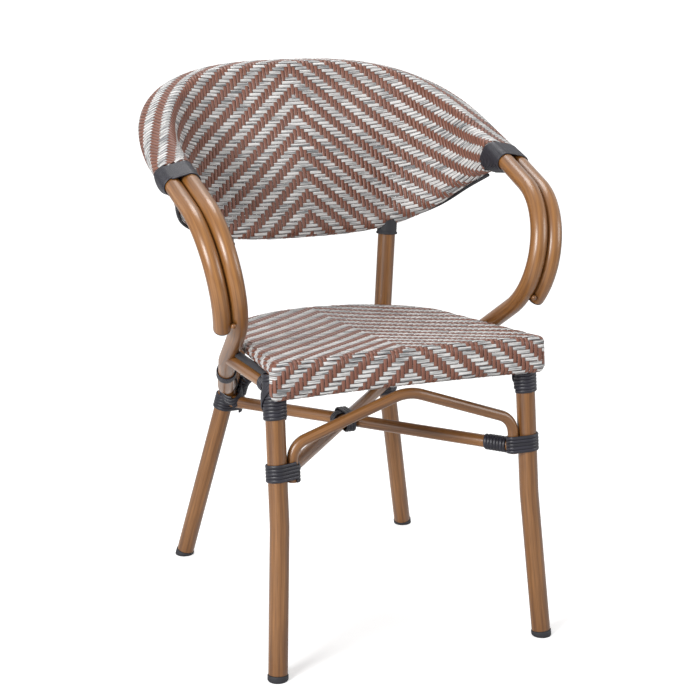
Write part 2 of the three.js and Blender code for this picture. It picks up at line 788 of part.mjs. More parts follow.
function outlineStations() {
  const right = [];
  const push = (x, y, nx, ny, apron) => {
    const normal = new THREE.Vector2(nx, ny).normalize();
    right.push({ x, y, normal, apron });
  };
  const cornerX = seatFrontHalf - seatCornerRadius;
  const cornerY = seatCornerRadius - seatFrontReach;
  for (const share of frontShares) {
    push(share * cornerX, -seatFrontReach + seatFrontHollow * (1 - share ** 2), 0, -1, true);
  }
  for (let i = 0; i <= cornerSteps; i += 1) {
    const angle = -Math.PI / 2 + (i / cornerSteps) * (Math.PI / 2 + Math.atan(seatSlope));
    const x = cornerX + seatCornerRadius * Math.cos(angle);
    const y = cornerY + seatCornerRadius * Math.sin(angle);
    push(x, y, Math.cos(angle), Math.sin(angle), i < cornerSteps - 1);
  }
  for (const share of sideShares) {
    const y = cornerY + share * (seatWaistSetback - cornerY);
    push(seatHalfAt(y), y, 1, seatSlope, false);
  }
  for (let i = 0; i <= arcSteps / 2; i += 1) {
    const angle = (i / arcSteps) * Math.PI;
    const x = seatRearHalf * Math.cos(angle);
    const y = seatWaistSetback + seatRearDepth * Math.sin(angle);
    push(x, y, Math.cos(angle) / seatRearHalf, Math.sin(angle) / seatRearDepth, false);
  }
  const left = right.slice(1, -1).reverse().map((station) => ({
    ...station, x: -station.x, normal: new THREE.Vector2(-station.normal.x, station.normal.y),
  }));
  return [...right, ...left];
}

const seatStations = outlineStations();
const ringCentre = (station, inset) => at(
  station.x - station.normal.x * inset,
  station.y - station.normal.y * inset,
  -foldOutside,
);
const apronDrop = apronHeight - 2 * foldOutside;
const seatShares = [0, 0.35, 0.7, 0.9];
const seatHemAngle = THREE.MathUtils.degToRad(140);

function seatSection(station, lift) {
  const ring = ringCentre(station, foldOutside);
  const pole = at(0, -seatWaistSetback, -foldOutside);
  const radius = foldInside + lift;
  const points = seatShares.map((share) => {
    const place = between(pole, ring, share);
    return at(place.x, place.y, lift - weaveThickness - seatDish * (1 - share ** 2));
  });
  const fold = (angle, drop) => at(
    ring.x + station.normal.x * radius * Math.cos(angle),
    ring.y + station.normal.y * radius * Math.cos(angle),
    ring.z + radius * Math.sin(angle) - drop,
  );
  for (let i = 0; i <= foldSteps / 2; i += 1) points.push(fold(Math.PI / 2 - (i / foldSteps) * Math.PI, 0));
  const drop = station.apron ? apronDrop : 0;
  for (let i = 0; i <= foldSteps - 1; i += 1) points.push(fold(-(i / (foldSteps - 1)) * seatHemAngle, drop));
  return points;
}

function addSeat() {
  const skin = (lift) => seatStations.map((station) => seatSection(station, lift));
  addMesh('woven_seat', thickSheet(skin(weaveThickness), skin(0), true), weaveBrown, seat);
  const centres = seatStations.map((station) => ringCentre(station, foldOutside));
  const end = frontShares.length;
  const half = [...centres.slice(0, end), centres[end - 1].clone().lerp(centres[end], frontRailShare)];
  const front = [...half.slice(1).reverse().map((point) => at(-point.x, point.y, point.z)), ...half];
  addMesh('seat_front_rail', seatTubeGeometry(front), alloy, seat);
  const apronLine = front.map((point) => at(point.x, point.y, point.z - apronDrop));
  addMesh('apron_rail', seatTubeGeometry(apronLine), alloy, seat);
  const side = frontShares.length + cornerSteps;
  const hoop = centres.slice(side + 1, centres.length - side);
  const start = centres[side].clone().lerp(centres[side + 1], hoopEndShare);
  addMesh('seat_hoop', seatTubeGeometry([start, ...hoop, at(-start.x, start.y, start.z)]), alloy, seat);
}

// Arches and stretchers below the seat

function archLine(corners, apex, shoulderHeight, footHeight, shoulderRadius) {
  const beside = (side, height) => {
    const leg = onLeg(corners(side), height);
    return at(leg.x - side * archOffset, leg.y, leg.z);
  };
  const line = [
    beside(-1, footHeight),
    beside(-1, shoulderHeight),
    apex,
    beside(1, shoulderHeight),
    beside(1, footHeight),
  ];
  return bentLine(line, [shoulderRadius, archApexRadius, shoulderRadius]);
}

const apronUnder = fromSeat(0, -seatFrontReach + seatFrontHollow + foldOutside, -apronHeight - clearance * 2);
const frontApex = at(0, apronUnder.y, apronUnder.z - archRadius);
const rearUnder = fromSeat(0, seatRearY - foldOutside, -2 * foldOutside - clearance * 2);
const rearApex = at(0, rearUnder.y, rearUnder.z - archRadius);

function addArches() {
  const front = archLine(frontLegCorners, frontApex, archShoulderHeight, archFootHeight, archShoulderRadius);
  addMesh('front_arch', archTubeGeometry(front), bamboo);
  const rear = archLine(
    rearLegCorners,
    rearApex,
    rearArchShoulderHeight,
    rearArchFootHeight,
    rearArchShoulderRadius,
  );
  addMesh('rear_arch', archTubeGeometry(rear), bamboo);
}

function legFrame(corners, height, towards) {
  const origin = onLeg(corners, height);
  return frameAlong(origin, onLeg(corners, height + mainTube).sub(origin), towards);
}

function stretcherEnds(side) {
  const front = onLeg(frontLegCorners(side), stretcherFrontHeight);
  const rear = onLeg(rearLegCorners(-side), stretcherRearHeight);
  return [front, rear];
}

const boundPair = [circle(0, 0, mainRadius), circle(archOffset, 0, archRadius)];

function bindingRoom(corners, side, height) {
  const frame = legFrame(corners(side), height - slimTube, at(-side, 0, 0));
  return bundleTool(frame, boundPair, broadCord.thickness + clearance, slimTube + slimTube);
}

function addStretcher(name, side, line, ...tools) {
  const rooms = [
    bindingRoom(frontLegCorners, side, stretcherFrontHeight),
    bindingRoom(rearLegCorners, -side, stretcherRearHeight),
  ];
  addMesh(name, cutAway(slimTubeGeometry(line), ...rooms, ...tools), bamboo);
}

function addStretchers() {
  const [start, end] = stretcherEnds(-1);
  addStretcher('stretcher_full', -1, [start, end]);
  const tool = solidRod([start, end], slimTube + 2 * clearance, slimSides);
  const [from, to] = stretcherEnds(1);
  const crossing = between(from, to, from.x / (from.x - to.x));
  addStretcher('stretcher_half_front', 1, [from, crossing], tool);
  addStretcher('stretcher_half_rear', 1, [crossing, to], tool);
  return { crossing, along: end.clone().sub(start).normalize(), other: to.clone().sub(from).normalize() };
}

function addSideRail(side) {
  const leg = onLeg(frontLegCorners(side), seatOriginHeight - sideRailDrop);
  const line = innerArmLine(side);
  const index = line.findIndex((point, i) => i > 1 && point.y > -seatFrontReach / 2 && point.z < leg.z);
  const before = line[index - 1];
  const after = line[index];
  const target = between(before, after, (before.z - leg.z) / (before.z - after.z));
  const legLine = bentLine(frontLegCorners(side), [kneeRadius]);
  const legTool = solidRod(legLine, mainTube + 2 * clearance, mainSides);
  const armTool = solidRod(line, armTube + 2 * clearance, mainSides);
  addMesh(`side_rail_${sideName(side)}`, cutAway(slimTubeGeometry([leg, target]), legTool, armTool), bamboo);
  return { leg, target };
}

// Bindings

function addBindings(side, sideRail) {
  const word = sideName(side);
  const inward = at(-side, 0, 0);
  const single = [circle(0, 0, mainRadius)];
  const front = frontLegCorners(side);
  const rear = rearLegCorners(side);
  const frontFrame = legFrame(front, frontBindingHeight, inward);
  addWinding(`front_leg_binding_${word}`, frontFrame, boundPair, legTurns, broadCord);
  const rearFrame = legFrame(rear, rearBindingHeight, inward);
  addWinding(`rear_leg_binding_${word}`, rearFrame, boundPair, legTurns, broadCord);
  const topFrame = legFrame(front, topBindingHeight, inward);
  addWinding(`front_leg_top_binding_${word}`, topFrame, single, legTurns, broadCord);
  const railDirection = sideRail.target.clone().sub(sideRail.leg).normalize();
  const railOffset = mainRadius + broadCord.thickness + clearance * 3;
  const railStart = sideRail.leg.clone().addScaledVector(railDirection, railOffset);
  addWinding(`side_rail_binding_${word}`, frameAlong(railStart, railDirection, up),
    [circle(0, 0, slimRadius)], lashingTurns, sleeveCord);
  const shift = cornerShift(side);
  const start = cornerPoint(side).addScaledVector(cornerDirection, -cornerBandLength / 2);
  const tubes = [circle(0, 0, armRadius), circle(shift.length(), 0, armRadius)];
  const cornerFrame = frameAlong(start, cornerDirection, shift);
  addWinding(`corner_binding_${word}`, cornerFrame, tubes, cornerTurns, fineCord);
}

function addLashings({ crossing, along, other }) {
  const half = along.angleTo(other) / 2;
  const spread = (lashingTurns + 1) * sleeveCord.pitch / 2;
  const loops = [
    { name: 'cross_lashing_lower', turn: half, along: along.clone().add(other), lift: 0 },
    {
      name: 'cross_lashing_upper',
      turn: Math.PI / 2 - half,
      along: along.clone().sub(other),
      lift: sleeveCord.thickness + 2 * clearance,
    },
  ];
  for (const loop of loops) {
    const direction = loop.along.normalize();
    const reach = (slimRadius + spread * Math.sin(loop.turn)) / Math.cos(loop.turn) - slimRadius;
    const origin = crossing.clone().addScaledVector(direction, -spread);
    const frame = frameAlong(origin, direction, direction.clone().cross(up));
    const radius = slimRadius + loop.lift;
    const circles = [circle(-reach, 0, radius), circle(reach, 0, radius)];
    addWinding(loop.name, frame, circles, lashingTurns, sleeveCord, lashingSteps);
  }
}

function addSleeves(side) {
  const word = sideName(side);
  const [start, end] = stretcherEnds(side);
  const direction = end.clone().sub(start).normalize();
  const offset = mainRadius + slimRadius + 2 * broadCord.thickness;
  const origin = start.clone().addScaledVector(direction, offset);
  const frame = frameAlong(origin, direction, up);
  addWinding(`stretcher_sleeve_${word}`, frame, [circle(0, 0, slimRadius)], sleeveTurns, sleeveCord);
}

for (const side of [-1, 1]) {
  addLegs(side);
  addFerrule(side);
  addArm(side);
  addSpigots(side);
  addBindings(side, addSideRail(side));
  addSleeves(side);
}
addBackRails();
addBackPanel();
addSeat();
addArches();
addLashings(addStretchers());

chair.updateMatrixWorld(true);
const box = new THREE.Box3().setFromObject(chair, true);
chair.position.set(-(box.min.x + box.max.x) / 2, -(box.min.y + box.max.y) / 2, -box.min.z);

export default chair;
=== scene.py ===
"""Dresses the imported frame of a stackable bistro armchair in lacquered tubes, woven strands and wound cords.

Sizes are metres. Plans are drawn between the four feet, as the frame's source draws them, and moved into the
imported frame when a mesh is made.
"""

import logging
import math
from dataclasses import dataclass, field
from enum import Enum
from typing import Any, Mapping, Sequence, Union

import bpy
import numpy as np
from mathutils import Matrix, Vector


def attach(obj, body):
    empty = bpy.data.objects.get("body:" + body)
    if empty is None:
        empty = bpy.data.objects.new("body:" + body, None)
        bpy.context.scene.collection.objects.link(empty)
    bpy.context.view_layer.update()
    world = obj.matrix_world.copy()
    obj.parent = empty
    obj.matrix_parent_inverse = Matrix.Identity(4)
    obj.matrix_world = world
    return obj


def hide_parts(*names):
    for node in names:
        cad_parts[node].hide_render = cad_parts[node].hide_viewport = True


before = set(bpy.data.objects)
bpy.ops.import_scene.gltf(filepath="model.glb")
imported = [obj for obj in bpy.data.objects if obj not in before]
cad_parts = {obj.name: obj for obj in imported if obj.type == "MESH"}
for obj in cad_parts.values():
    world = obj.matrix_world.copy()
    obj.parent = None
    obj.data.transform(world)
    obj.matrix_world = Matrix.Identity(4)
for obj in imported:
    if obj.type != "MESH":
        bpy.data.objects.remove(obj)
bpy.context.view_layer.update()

LOG = logging.getLogger("armchair")
SIDEWAYS, BACKWARDS, UP = np.eye(3)
STEEP = 0.9
PLAN_SHIFT = np.array((0.0, -0.02658, 0.0))
OFF_SHEET = -1.0

Vec = np.ndarray
Box = tuple[float, float, float, float]
Profile = Sequence[tuple[float, float]]
Colour = tuple[float, float, float, float]


def at(x: float, y: float, z: float) -> Vec:
    """A point of the plan."""
    return np.array((x, y, z), float)


def unit(vector: Vec) -> Vec:
    """The vector, or each row of an array of them, at length one."""
    return vector / np.linalg.norm(vector, axis=-1, keepdims=True)


def crosswise(direction: Vec) -> Vec:
    """A direction well away from another: up, or sideways for one that stands."""
    return UP if abs(direction[2]) < STEEP else SIDEWAYS


def colour(red: int, green: int, blue: int) -> Colour:
    """A screen colour from 0 to 255 a channel, as the linear values that a shader takes."""
    parts = [c / 255 for c in (red, green, blue)]
    linear = [c / 12.92 if c <= 0.04045 else ((c + 0.055) / 1.055) ** 2.4 for c in parts]
    return (linear[0], linear[1], linear[2], 1.0)


def linked(name: str, data: bpy.types.ID) -> bpy.types.Object:
    """A new object of a mesh, lamp or camera, in the scene."""
    made = bpy.data.objects.new(name, data)
    bpy.context.scene.collection.objects.link(made)
    return made


class Side(Enum):
    """The sitter sees LEFT at lower X."""

    LEFT = -1
    RIGHT = 1

    @property
    def word(self) -> str:
        """The side's name in a piece's name."""
        return self.name.lower()


# Nodes, written as sums


class Wire:
    """A node's output that sums and products are written with."""

    def __init__(self, graph: "Graph", socket: bpy.types.NodeSocket) -> None:
        """Keeps the socket and the graph that it is in."""
        self.graph = graph
        self.socket = socket

    def _math(self, operation: str, first: "Value", second: "Value" = 0.0) -> "Wire":
        """One Math node on two values."""
        return self.graph.wire("ShaderNodeMath", {"operation": operation}, {0: first, 1: second})

    def __add__(self, other: "Value") -> "Wire":
        """self + other."""
        return self._math("ADD", self, other)

    def __sub__(self, other: "Value") -> "Wire":
        """self - other."""
        return self._math("SUBTRACT", self, other)

    def __rsub__(self, other: "Value") -> "Wire":
        """other - self."""
        return self._math("SUBTRACT", other, self)

    def __mul__(self, other: "Value") -> "Wire":
        """self * other."""
        return self._math("MULTIPLY", self, other)

    def __truediv__(self, other: "Value") -> "Wire":
        """self / other."""
        return self._math("DIVIDE", self, other)

    def __pow__(self, other: "Value") -> "Wire":
        """self to the power of other."""
        return self._math("POWER", self, other)

    def __abs__(self) -> "Wire":
        """The value without its sign."""
        return self._math("ABSOLUTE", self)

    __radd__ = __add__
    __rmul__ = __mul__

    def sign(self) -> "Wire":
        """One, nought or minus one."""
        return self._math("SIGN", self)

    def between(self, low: float, high: float) -> "Wire":
        """Rises smoothly from 0 at low to 1 at high."""
        links = {"Value": self, "From Min": low, "From Max": high}
        return self.graph.wire("ShaderNodeMapRange", {"interpolation_type": "SMOOTHSTEP"}, links)


Value = Union[Wire, float, int, bool, str, Sequence[float], bpy.types.NodeSocket, bpy.types.Material]
Key = Union[int, str]
Settings = Union[Mapping[str, Any], None]
Links = Union[Mapping[Key, Value], None]


class Graph:
    """Adds nodes to one tree and joins them."""

    def __init__(self, tree: bpy.types.NodeTree) -> None:
        """Keeps the tree that nodes go into."""
        self.tree = tree

    @staticmethod
    def _find(sockets: Any, key: Key) -> bpy.types.NodeSocket:
        """The socket of that index, identifier or name."""
        if isinstance(key, int):
            return sockets[key]
        for socket in sockets:
            if socket.identifier == key:
                return socket
        return next(socket for socket in sockets if socket.name == key and socket.enabled)

    def node(self, kind: str, settings: Settings = None, links: Links = None) -> bpy.types.Node:
        """Adds one node.

        Args:
            kind: The node's type.
            settings: Its own settings, set first. "stops" fills a colour ramp with (place, colour) pairs.
            links: Each input's value, or the wire that feeds it, by index, identifier or name.

        Returns:
            The node.
        """
        made = self.tree.nodes.new(kind)
        for name, value in (settings or {}).items():
            if name == "stops":
                self._fill_ramp(made.color_ramp, value)
            else:
                setattr(made, name, value)
        for key, value in (links or {}).items():
            socket = self._find(made.inputs, key)
            if isinstance(value, Wire):
                self.tree.links.new(value.socket, socket)
            else:
                socket.default_value = value
        return made

    @staticmethod
    def _fill_ramp(ramp: bpy.types.ColorRamp, stops: Sequence[tuple[float, Colour]]) -> None:
        """Gives a ramp its stops."""
        while len(ramp.elements) < len(stops):
            ramp.elements.new(0.5)
        for element, (place, shade) in zip(ramp.elements, stops):
            element.position = place
            element.color = shade

    def wire(self, kind: str, settings: Settings = None, links: Links = None, output: Key = 0) -> Wire:
        """Adds one node as node does, and gives the output that is wanted of it."""
        return Wire(self, self._find(self.node(kind, settings, links).outputs, output))

    def mix(self, share: Value, first: Value, second: Value) -> Wire:
        """A colour that goes from first to second as share goes from 0 to 1."""
        links = {"Factor_Float": share, "A_Color": first, "B_Color": second}
        return self.wire("ShaderNodeMix", {"data_type": "RGBA"}, links, "Result_Color")

    def ramp(self, value: Value, *stops: tuple[float, Colour]) -> Wire:
        """A colour read from a ramp of (place, colour) stops."""
        return self.wire("ShaderNodeValToRGB", {"stops": stops}, {0: value})

    def noise(self, place: Value, scale: float, detail: float, rough: float) -> Wire:
        """Soft noise from 0 to 1 at a place."""
        links = {"Vector": place, "Scale": scale, "Detail": detail, "Roughness": rough}
        return self.wire("ShaderNodeTexNoise", None, links)

    def place(self) -> Wire:
        """The place in the chair."""
        return self.wire("ShaderNodeTexCoord", None, None, "Object")

    def attribute(self, name: str, output: str = "Vector") -> Wire:
        """What the piece's mesh stores under a name."""
        return self.wire("ShaderNodeAttribute", {"attribute_name": name}, None, output)

    def parts(self, vector: Value) -> tuple[Wire, ...]:
        """A vector's three parts."""
        split = self.node("ShaderNodeSeparateXYZ", None, {0: vector})
        return tuple(Wire(self, socket) for socket in split.outputs)

    def vector(self, x: Value, y: Value, z: Value) -> Wire:
        """A vector from its three parts."""
        return self.wire("ShaderNodeCombineXYZ", None, {0: x, 1: y, 2: z})


def fresh_graph(owner: Union[bpy.types.Material, bpy.types.World]) -> Graph:
    """The emptied tree of a material or a world."""
    owner.use_nodes = True
    owner.node_tree.nodes.clear()
    return Graph(owner.node_tree)


# Finishes


@dataclass(frozen=True)
class Grain:
    """Noise with its own fineness each way: waves a metre, detail and roughness."""

    waves: tuple[float, float, float]
    detail: float = 3.0
    rough: float = 0.5

    def read(self, graph: Graph, *place: Wire) -> Wire:
        """The noise from 0 to 1 at a place given by its three parts."""
        stretched = graph.vector(*(part * waves for part, waves in zip(place, self.waves)))
        return graph.noise(stretched, 1.0, self.detail, self.rough)


@dataclass(frozen=True)
class Finish:
    """What every finish has: names, gloss, and how far noises change the gloss and raise the surface."""

    title: str
    slot: str
    roughness: float = 0.5
    metallic: float = 0.0
    coat: float = 0.0
    coat_roughness: float = 0.15
    gloss_change: float = 0.2
    gloss_middle: float = 0.5
    relief: float = 0.0002
    relief_strength: float = 0.5

    def paint(self, graph: Graph) -> dict[str, Value]:
        """What feeds the shader's inputs. Each finish has its own."""
        raise NotImplementedError

    def surface(self, graph: Graph, shade: Wire, gloss: Wire, height: Wire) -> dict[str, Value]:
        """The shader's inputs from a colour, a noise for the gloss, and one that raises the surface."""
        links = {"Strength": self.relief_strength, "Distance": self.relief, "Height": height}
        return {
            "Base Color": shade,
            "Roughness": gloss * self.gloss_change + (self.roughness - self.gloss_change * self.gloss_middle),
            "Normal": graph.wire("ShaderNodeBump", None, links),
        }

    def material(self) -> bpy.types.Material:
        """Builds the finish once, unless a material of its title is there, as FITTING's is.

        Returns:
            The material of its title, the same one at each call.
        """
        known = bpy.data.materials.get(self.title)
        if known:
            return known
        made = bpy.data.materials.new(self.title)
        graph = fresh_graph(made)
        inputs: dict[str, Value] = {
            "Metallic": self.metallic,
            "Coat Weight": self.coat,
            "Coat Roughness": self.coat_roughness,
        }
        inputs.update(self.paint(graph))
        shader = graph.wire("ShaderNodeBsdfPrincipled", None, inputs)
        graph.node("ShaderNodeOutputMaterial", None, {"Surface": shader})
        return made


@dataclass(frozen=True)
class CaneLacquer(Finish):
    """Tube painted to look like cane: long streaks of three browns under a clear coat, with painted shade that
    darkens it low down.
    """

    light: Colour = colour(162, 111, 58)
    middle: Colour = colour(130, 85, 39)
    dark: Colour = colour(97, 60, 27)
    steps: tuple[float, float, float] = (0.36, 0.5, 0.66)
    broad: Grain = Grain((140, 140, 5), 3.0, 0.55)
    fine: Grain = Grain((900, 900, 18), 4.0, 0.6)
    fine_share: float = 0.38
    # Painted shade: the colour, share and heights of the darkening of the tubes low in the chair, where less
    # light falls.
    shaded: Colour = colour(46, 22, 18)
    shaded_share: float = 0.22
    shaded_heights: tuple[float, float] = (0.40, 0.62)

    def paint(self, graph: Graph) -> dict[str, Value]:
        """Streaks along the tube, from the place round it and the way along it, and painted shade low in the
        chair.
        """
        place = graph.parts(graph.attribute("grain"))
        broad, fine = (grain.read(graph, *place) for grain in (self.broad, self.fine))
        share = broad * (1 - self.fine_share) + fine * self.fine_share
        shade = graph.ramp(share, *zip(self.steps, (self.dark, self.middle, self.light)))
        # Painted shade: below the seat's height the tubes are mixed towards a dark brown.
        low = 1 - graph.parts(graph.place())[2].between(*self.shaded_heights)
        shade = graph.mix(low * self.shaded_share, shade, self.shaded)
        return self.surface(graph, shade, fine, fine)


@dataclass(frozen=True)
class Laid(Finish):
    """A finish of something woven or wound: lines along it, and slow patches."""

    lines: Grain = Grain((2400, 25, 40), 3.0, 0.55)
    patches: Grain = Grain((200, 30, 10), 2.0, 0.5)
    patch_share: float = 0.4
    spread: tuple[float, float] = (0.35, 0.7)

    def _drawn(self, graph: Graph) -> tuple[Wire, Wire, Wire, Wire]:
        """The place across the strand, the tone, the lines, and lines and patches together."""
        across = graph.parts(graph.attribute("section"))[1]
        along, tone = (graph.attribute(name, "Fac") for name in ("along", "tone"))
        lines, patches = (grain.read(graph, across, along, tone) for grain in (self.lines, self.patches))
        return across, tone, lines, lines * (1 - self.patch_share) + patches * self.patch_share


@dataclass(frozen=True)
class Strand(Laid):
    """Flat woven strand with lines drawn along it, and painted shade on its edges, where it dips between its
    neighbours.
    """

    base: Colour = colour(216, 214, 212)
    streak: Colour = colour(98, 100, 102)
    # edge is the colour of the painted shade at the strand's sides, for the shade in the gaps between strands.
    edge: Colour = colour(112, 112, 114)
    lines: Grain = Grain((850, 34, 90), 4.0, 0.62)
    patches: Grain = Grain((260, 16, 60), 2.0, 0.5)
    patch_share: float = 0.38
    tone_share: float = 0.06
    spread: tuple[float, float] = (0.44, 0.62)
    half_width: float = 0.0027
    edge_from: float = 0.7
    edge_to: float = 1.05

    def paint(self, graph: Graph) -> dict[str, Value]:
        """Lengthwise lines, a tone of its own for each strand, and edges darkened by painted shade."""
        across, tone, lines, drawn = self._drawn(graph)
        share = (drawn + (tone - 0.5) * self.tone_share).between(*self.spread)
        # Painted shade: towards the strand's sides the colour turns to the darker edge colour.
        painted_edge_shade = (abs(across) / self.half_width).between(self.edge_from, self.edge_to)
        shade = graph.mix(painted_edge_shade, graph.mix(share, self.base, self.streak), self.edge)
        return self.surface(graph, shade, lines, lines)


@dataclass(frozen=True)
class WrapCord(Laid):
    """Black flat cord of moulded plastic with fine ribs along it."""

    dark: Colour = colour(19, 18, 25)
    light: Colour = colour(38, 37, 49)

    def paint(self, graph: Graph) -> dict[str, Value]:
        """Ribs along the cord and a slow change of shade."""
        _, _, ribs, drawn = self._drawn(graph)
        return self.surface(graph, graph.mix(drawn.between(*self.spread), self.dark, self.light), ribs, ribs)


@dataclass(frozen=True)
class MouldedPlastic(Finish):
    """Black moulded fitting with a fine grain and paler scuffs. It is not built, see FITTING."""

    dark: Colour = colour(30, 30, 33)
    light: Colour = colour(48, 48, 52)
    grain: Grain = Grain((2600, 2600, 2600), 3.0, 0.6)
    scuffs: Grain = Grain((90, 90, 90), 5.0, 0.65)
    scuffed: tuple[float, float] = (0.5, 0.72)
    scuff_share: float = 0.6
    grain_share: float = 0.2

    def paint(self, graph: Graph) -> dict[str, Value]:
        """Grain and scuffs from the place in the chair."""
        place = graph.parts(graph.place())
        grain = self.grain.read(graph, *place)
        scuff = self.scuffs.read(graph, *place).between(*self.scuffed)
        shade = graph.mix(scuff * self.scuff_share + grain * self.grain_share, self.dark, self.light)
        return self.surface(graph, shade, scuff, grain)


@dataclass(frozen=True)
class DrawnAlloy(Finish):
    """Bare drawn aluminium, seen only inside joints and under the weave."""

    light: Colour = colour(190, 190, 192)
    dark: Colour = colour(140, 140, 144)
    lines: Grain = Grain((30, 1400, 1400), 3.0, 0.6)
    patches: Grain = Grain((45, 45, 45), 3.0, 0.5)

    def paint(self, graph: Graph) -> dict[str, Value]:
        """Fine drawing lines and dull patches."""
        place = graph.parts(graph.place())
        line, patch = (grain.read(graph, *place) for grain in (self.lines, self.patches))
        shade = graph.mix(line * 0.5 + patch * 0.5, self.dark, self.light)
        return self.surface(graph, shade, patch, line)


CANE = CaneLacquer(
    "cane_lacquer",
    "frame_tube",
    roughness=0.36,
    coat=0.35,
    coat_roughness=0.22,
    gloss_change=0.14,
    relief_strength=0.25,
)
WEFT = Strand("pale_strand", "weave", roughness=0.42, relief=0.00025)
WARP = Strand(
    "brown_strand",
    "weave",
    roughness=0.42,
    relief=0.00025,
    base=colour(128, 82, 65),
    streak=colour(98, 58, 43),
    # The brown strands' painted edge shade.
    edge=colour(102, 62, 48),
    lines=Grain((1500, 34, 90), 4.0, 0.62),
    spread=(0.38, 0.7),
    edge_from=0.74,
)
BLACK_CORD = WrapCord(
    "black_cord", "binding_cord", roughness=0.42, gloss_change=0.16, relief=0.0003, relief_strength=0.55
)
# The CAD has a material of this title, so the fittings show that plain black and not this finish.
FITTING = MouldedPlastic(
    "black_fitting", "black_fitting", gloss_change=0.12, gloss_middle=1 / 3, relief_strength=0.35
)
ALLOY = DrawnAlloy(
    "drawn_alloy", "bare_tube", roughness=0.42, metallic=0.85, relief=0.0001, relief_strength=0.3
)


# Lines and shapes


def bend(before: Vec, corner: Vec, after: Vec, radius: float, step: float = math.radians(4)) -> list[Vec]:
    """Rounds one corner of a bent tube.

    Args:
        before: The point before the corner.
        corner: The corner.
        after: The point after it.
        radius: The bend's radius.
        step: The widest turn between two points.

    Returns:
        Points on the arc.
    """
    back, ahead = unit(before - corner), unit(after - corner)
    opening = math.acos(float(np.clip(back @ ahead, -1, 1)))
    reach = radius / math.tan(opening / 2)
    centre = corner + unit(back + ahead) * (radius / math.sin(opening / 2))
    first = unit(corner + back * reach - centre)
    second = corner + ahead * reach - centre
    second = unit(second - first * (first @ second))
    sweep = math.pi - opening
    count = max(1, math.ceil(sweep / step))
    turns = [sweep * i / count for i in range(count + 1)]
    return [centre + first * (radius * math.cos(t)) + second * (radius * math.sin(t)) for t in turns]


def bent_line(corners: Sequence[Vec], radii: Sequence[float]) -> Vec:
    """A line through corners, each inner one rounded to its radius."""
    points = [corners[0]]
    for i, radius in enumerate(radii, start=1):
        points += bend(corners[i - 1], corners[i], corners[i + 1], radius)
    points.append(corners[-1])
    return np.array(points)


def smooth_curve(points: Vec, per_span: int = 16) -> Vec:
    """A centripetal spline through points, as a dense line."""
    ends = [2 * points[0] - points[1], *points, 2 * points[-1] - points[-2]]
    line = []
    for a, b, c, d in zip(ends, ends[1:], ends[2:], ends[3:]):
        before, here, after = (math.sqrt(np.linalg.norm(q - p)) for p, q in ((a, b), (b, c), (c, d)))
        leave = ((b - a) / before - (c - a) / (before + here) + (c - b) / here) * here
        arrive = ((c - b) / here - (d - b) / (here + after) + (d - c) / after) * here
        for i in range(per_span):
            t = i / per_span
            bends = -3 * b + 3 * c - 2 * leave - arrive
            line.append(b + leave * t + bends * t**2 + (2 * b - 2 * c + leave + arrive) * t**3)
    line.append(ends[-2])
    return np.array(line)


def lengths_along(line: Vec) -> Vec:
    """How far along a line each of its points is."""
    return np.concatenate(([0.0], np.cumsum(np.linalg.norm(np.diff(line, axis=0), axis=1))))


def read_line(line: Vec, places: Vec) -> Vec:
    """The points of a line at places along it."""
    run = lengths_along(line)
    return np.stack([np.interp(places, run, line[:, k]) for k in range(line.shape[1])], axis=1)


def spaced(line: Vec, steps: int) -> Vec:
    """A line cut into steps of one length."""
    return read_line(line, np.linspace(0, lengths_along(line)[-1], steps + 1))


def tangents(line: Vec) -> Vec:
    """The direction of a line at each of its points."""
    ahead = np.vstack([unit(np.diff(line, axis=0)), unit(line[-1:] - line[-2:-1])])
    behind = np.vstack([ahead[:1], ahead[:-1]])
    return unit(ahead + behind)


def carried_frames(line: Vec) -> tuple[Vec, Vec]:
    """Two directions across a line that don't twist as they go along it."""
    along = tangents(line)
    across = [unit(np.cross(crosswise(along[0]), along[0]))]
    for direction in along[1:]:
        across.append(unit(across[-1] - direction * (across[-1] @ direction)))
    first = np.array(across)
    return first, np.cross(along, first)


@dataclass
class Shape:
    """A mesh before it is made: points, faces, and the place in the grain of each point."""

    points: Vec
    faces: list[tuple[int, ...]]
    grain: Vec


def loft(rings: Vec, grain: Vec) -> Shape:
    """Joins rings of points into a skin with a closed cap on each end.

    Args:
        rings: The rings, an array of ring, point and axis, each ring turning anticlockwise seen from its end.
        grain: The place in the grain of each of those points.

    Returns:
        The closed shape.
    """
    count, sides = rings.shape[:2]
    faces: list[tuple[int, ...]] = []
    for i in range(count - 1):
        for j in range(sides):
            k = (j + 1) % sides
            faces.append((i * sides + j, i * sides + k, (i + 1) * sides + k, (i + 1) * sides + j))
    first, last = count * sides, count * sides + 1
    for j in range(sides):
        k = (j + 1) % sides
        faces.append((first, k, j))
        faces.append((last, (count - 1) * sides + j, (count - 1) * sides + k))
    points = np.vstack([rings.reshape(-1, 3), rings[0].mean(0), rings[-1].mean(0)])
    places = np.vstack([grain.reshape(-1, 3), grain[0].mean(0), grain[-1].mean(0)])
    return Shape(points, faces, places)


def spokes(axis: Vec, seed: Vec, sides: int) -> Vec:
    """Directions square to an axis, evenly all round it."""
    across = unit(np.cross(axis, seed))
    turn = np.linspace(0, 2 * math.pi, sides, endpoint=False)
    return np.cos(turn)[:, None] * across + np.sin(turn)[:, None] * np.cross(axis, across)


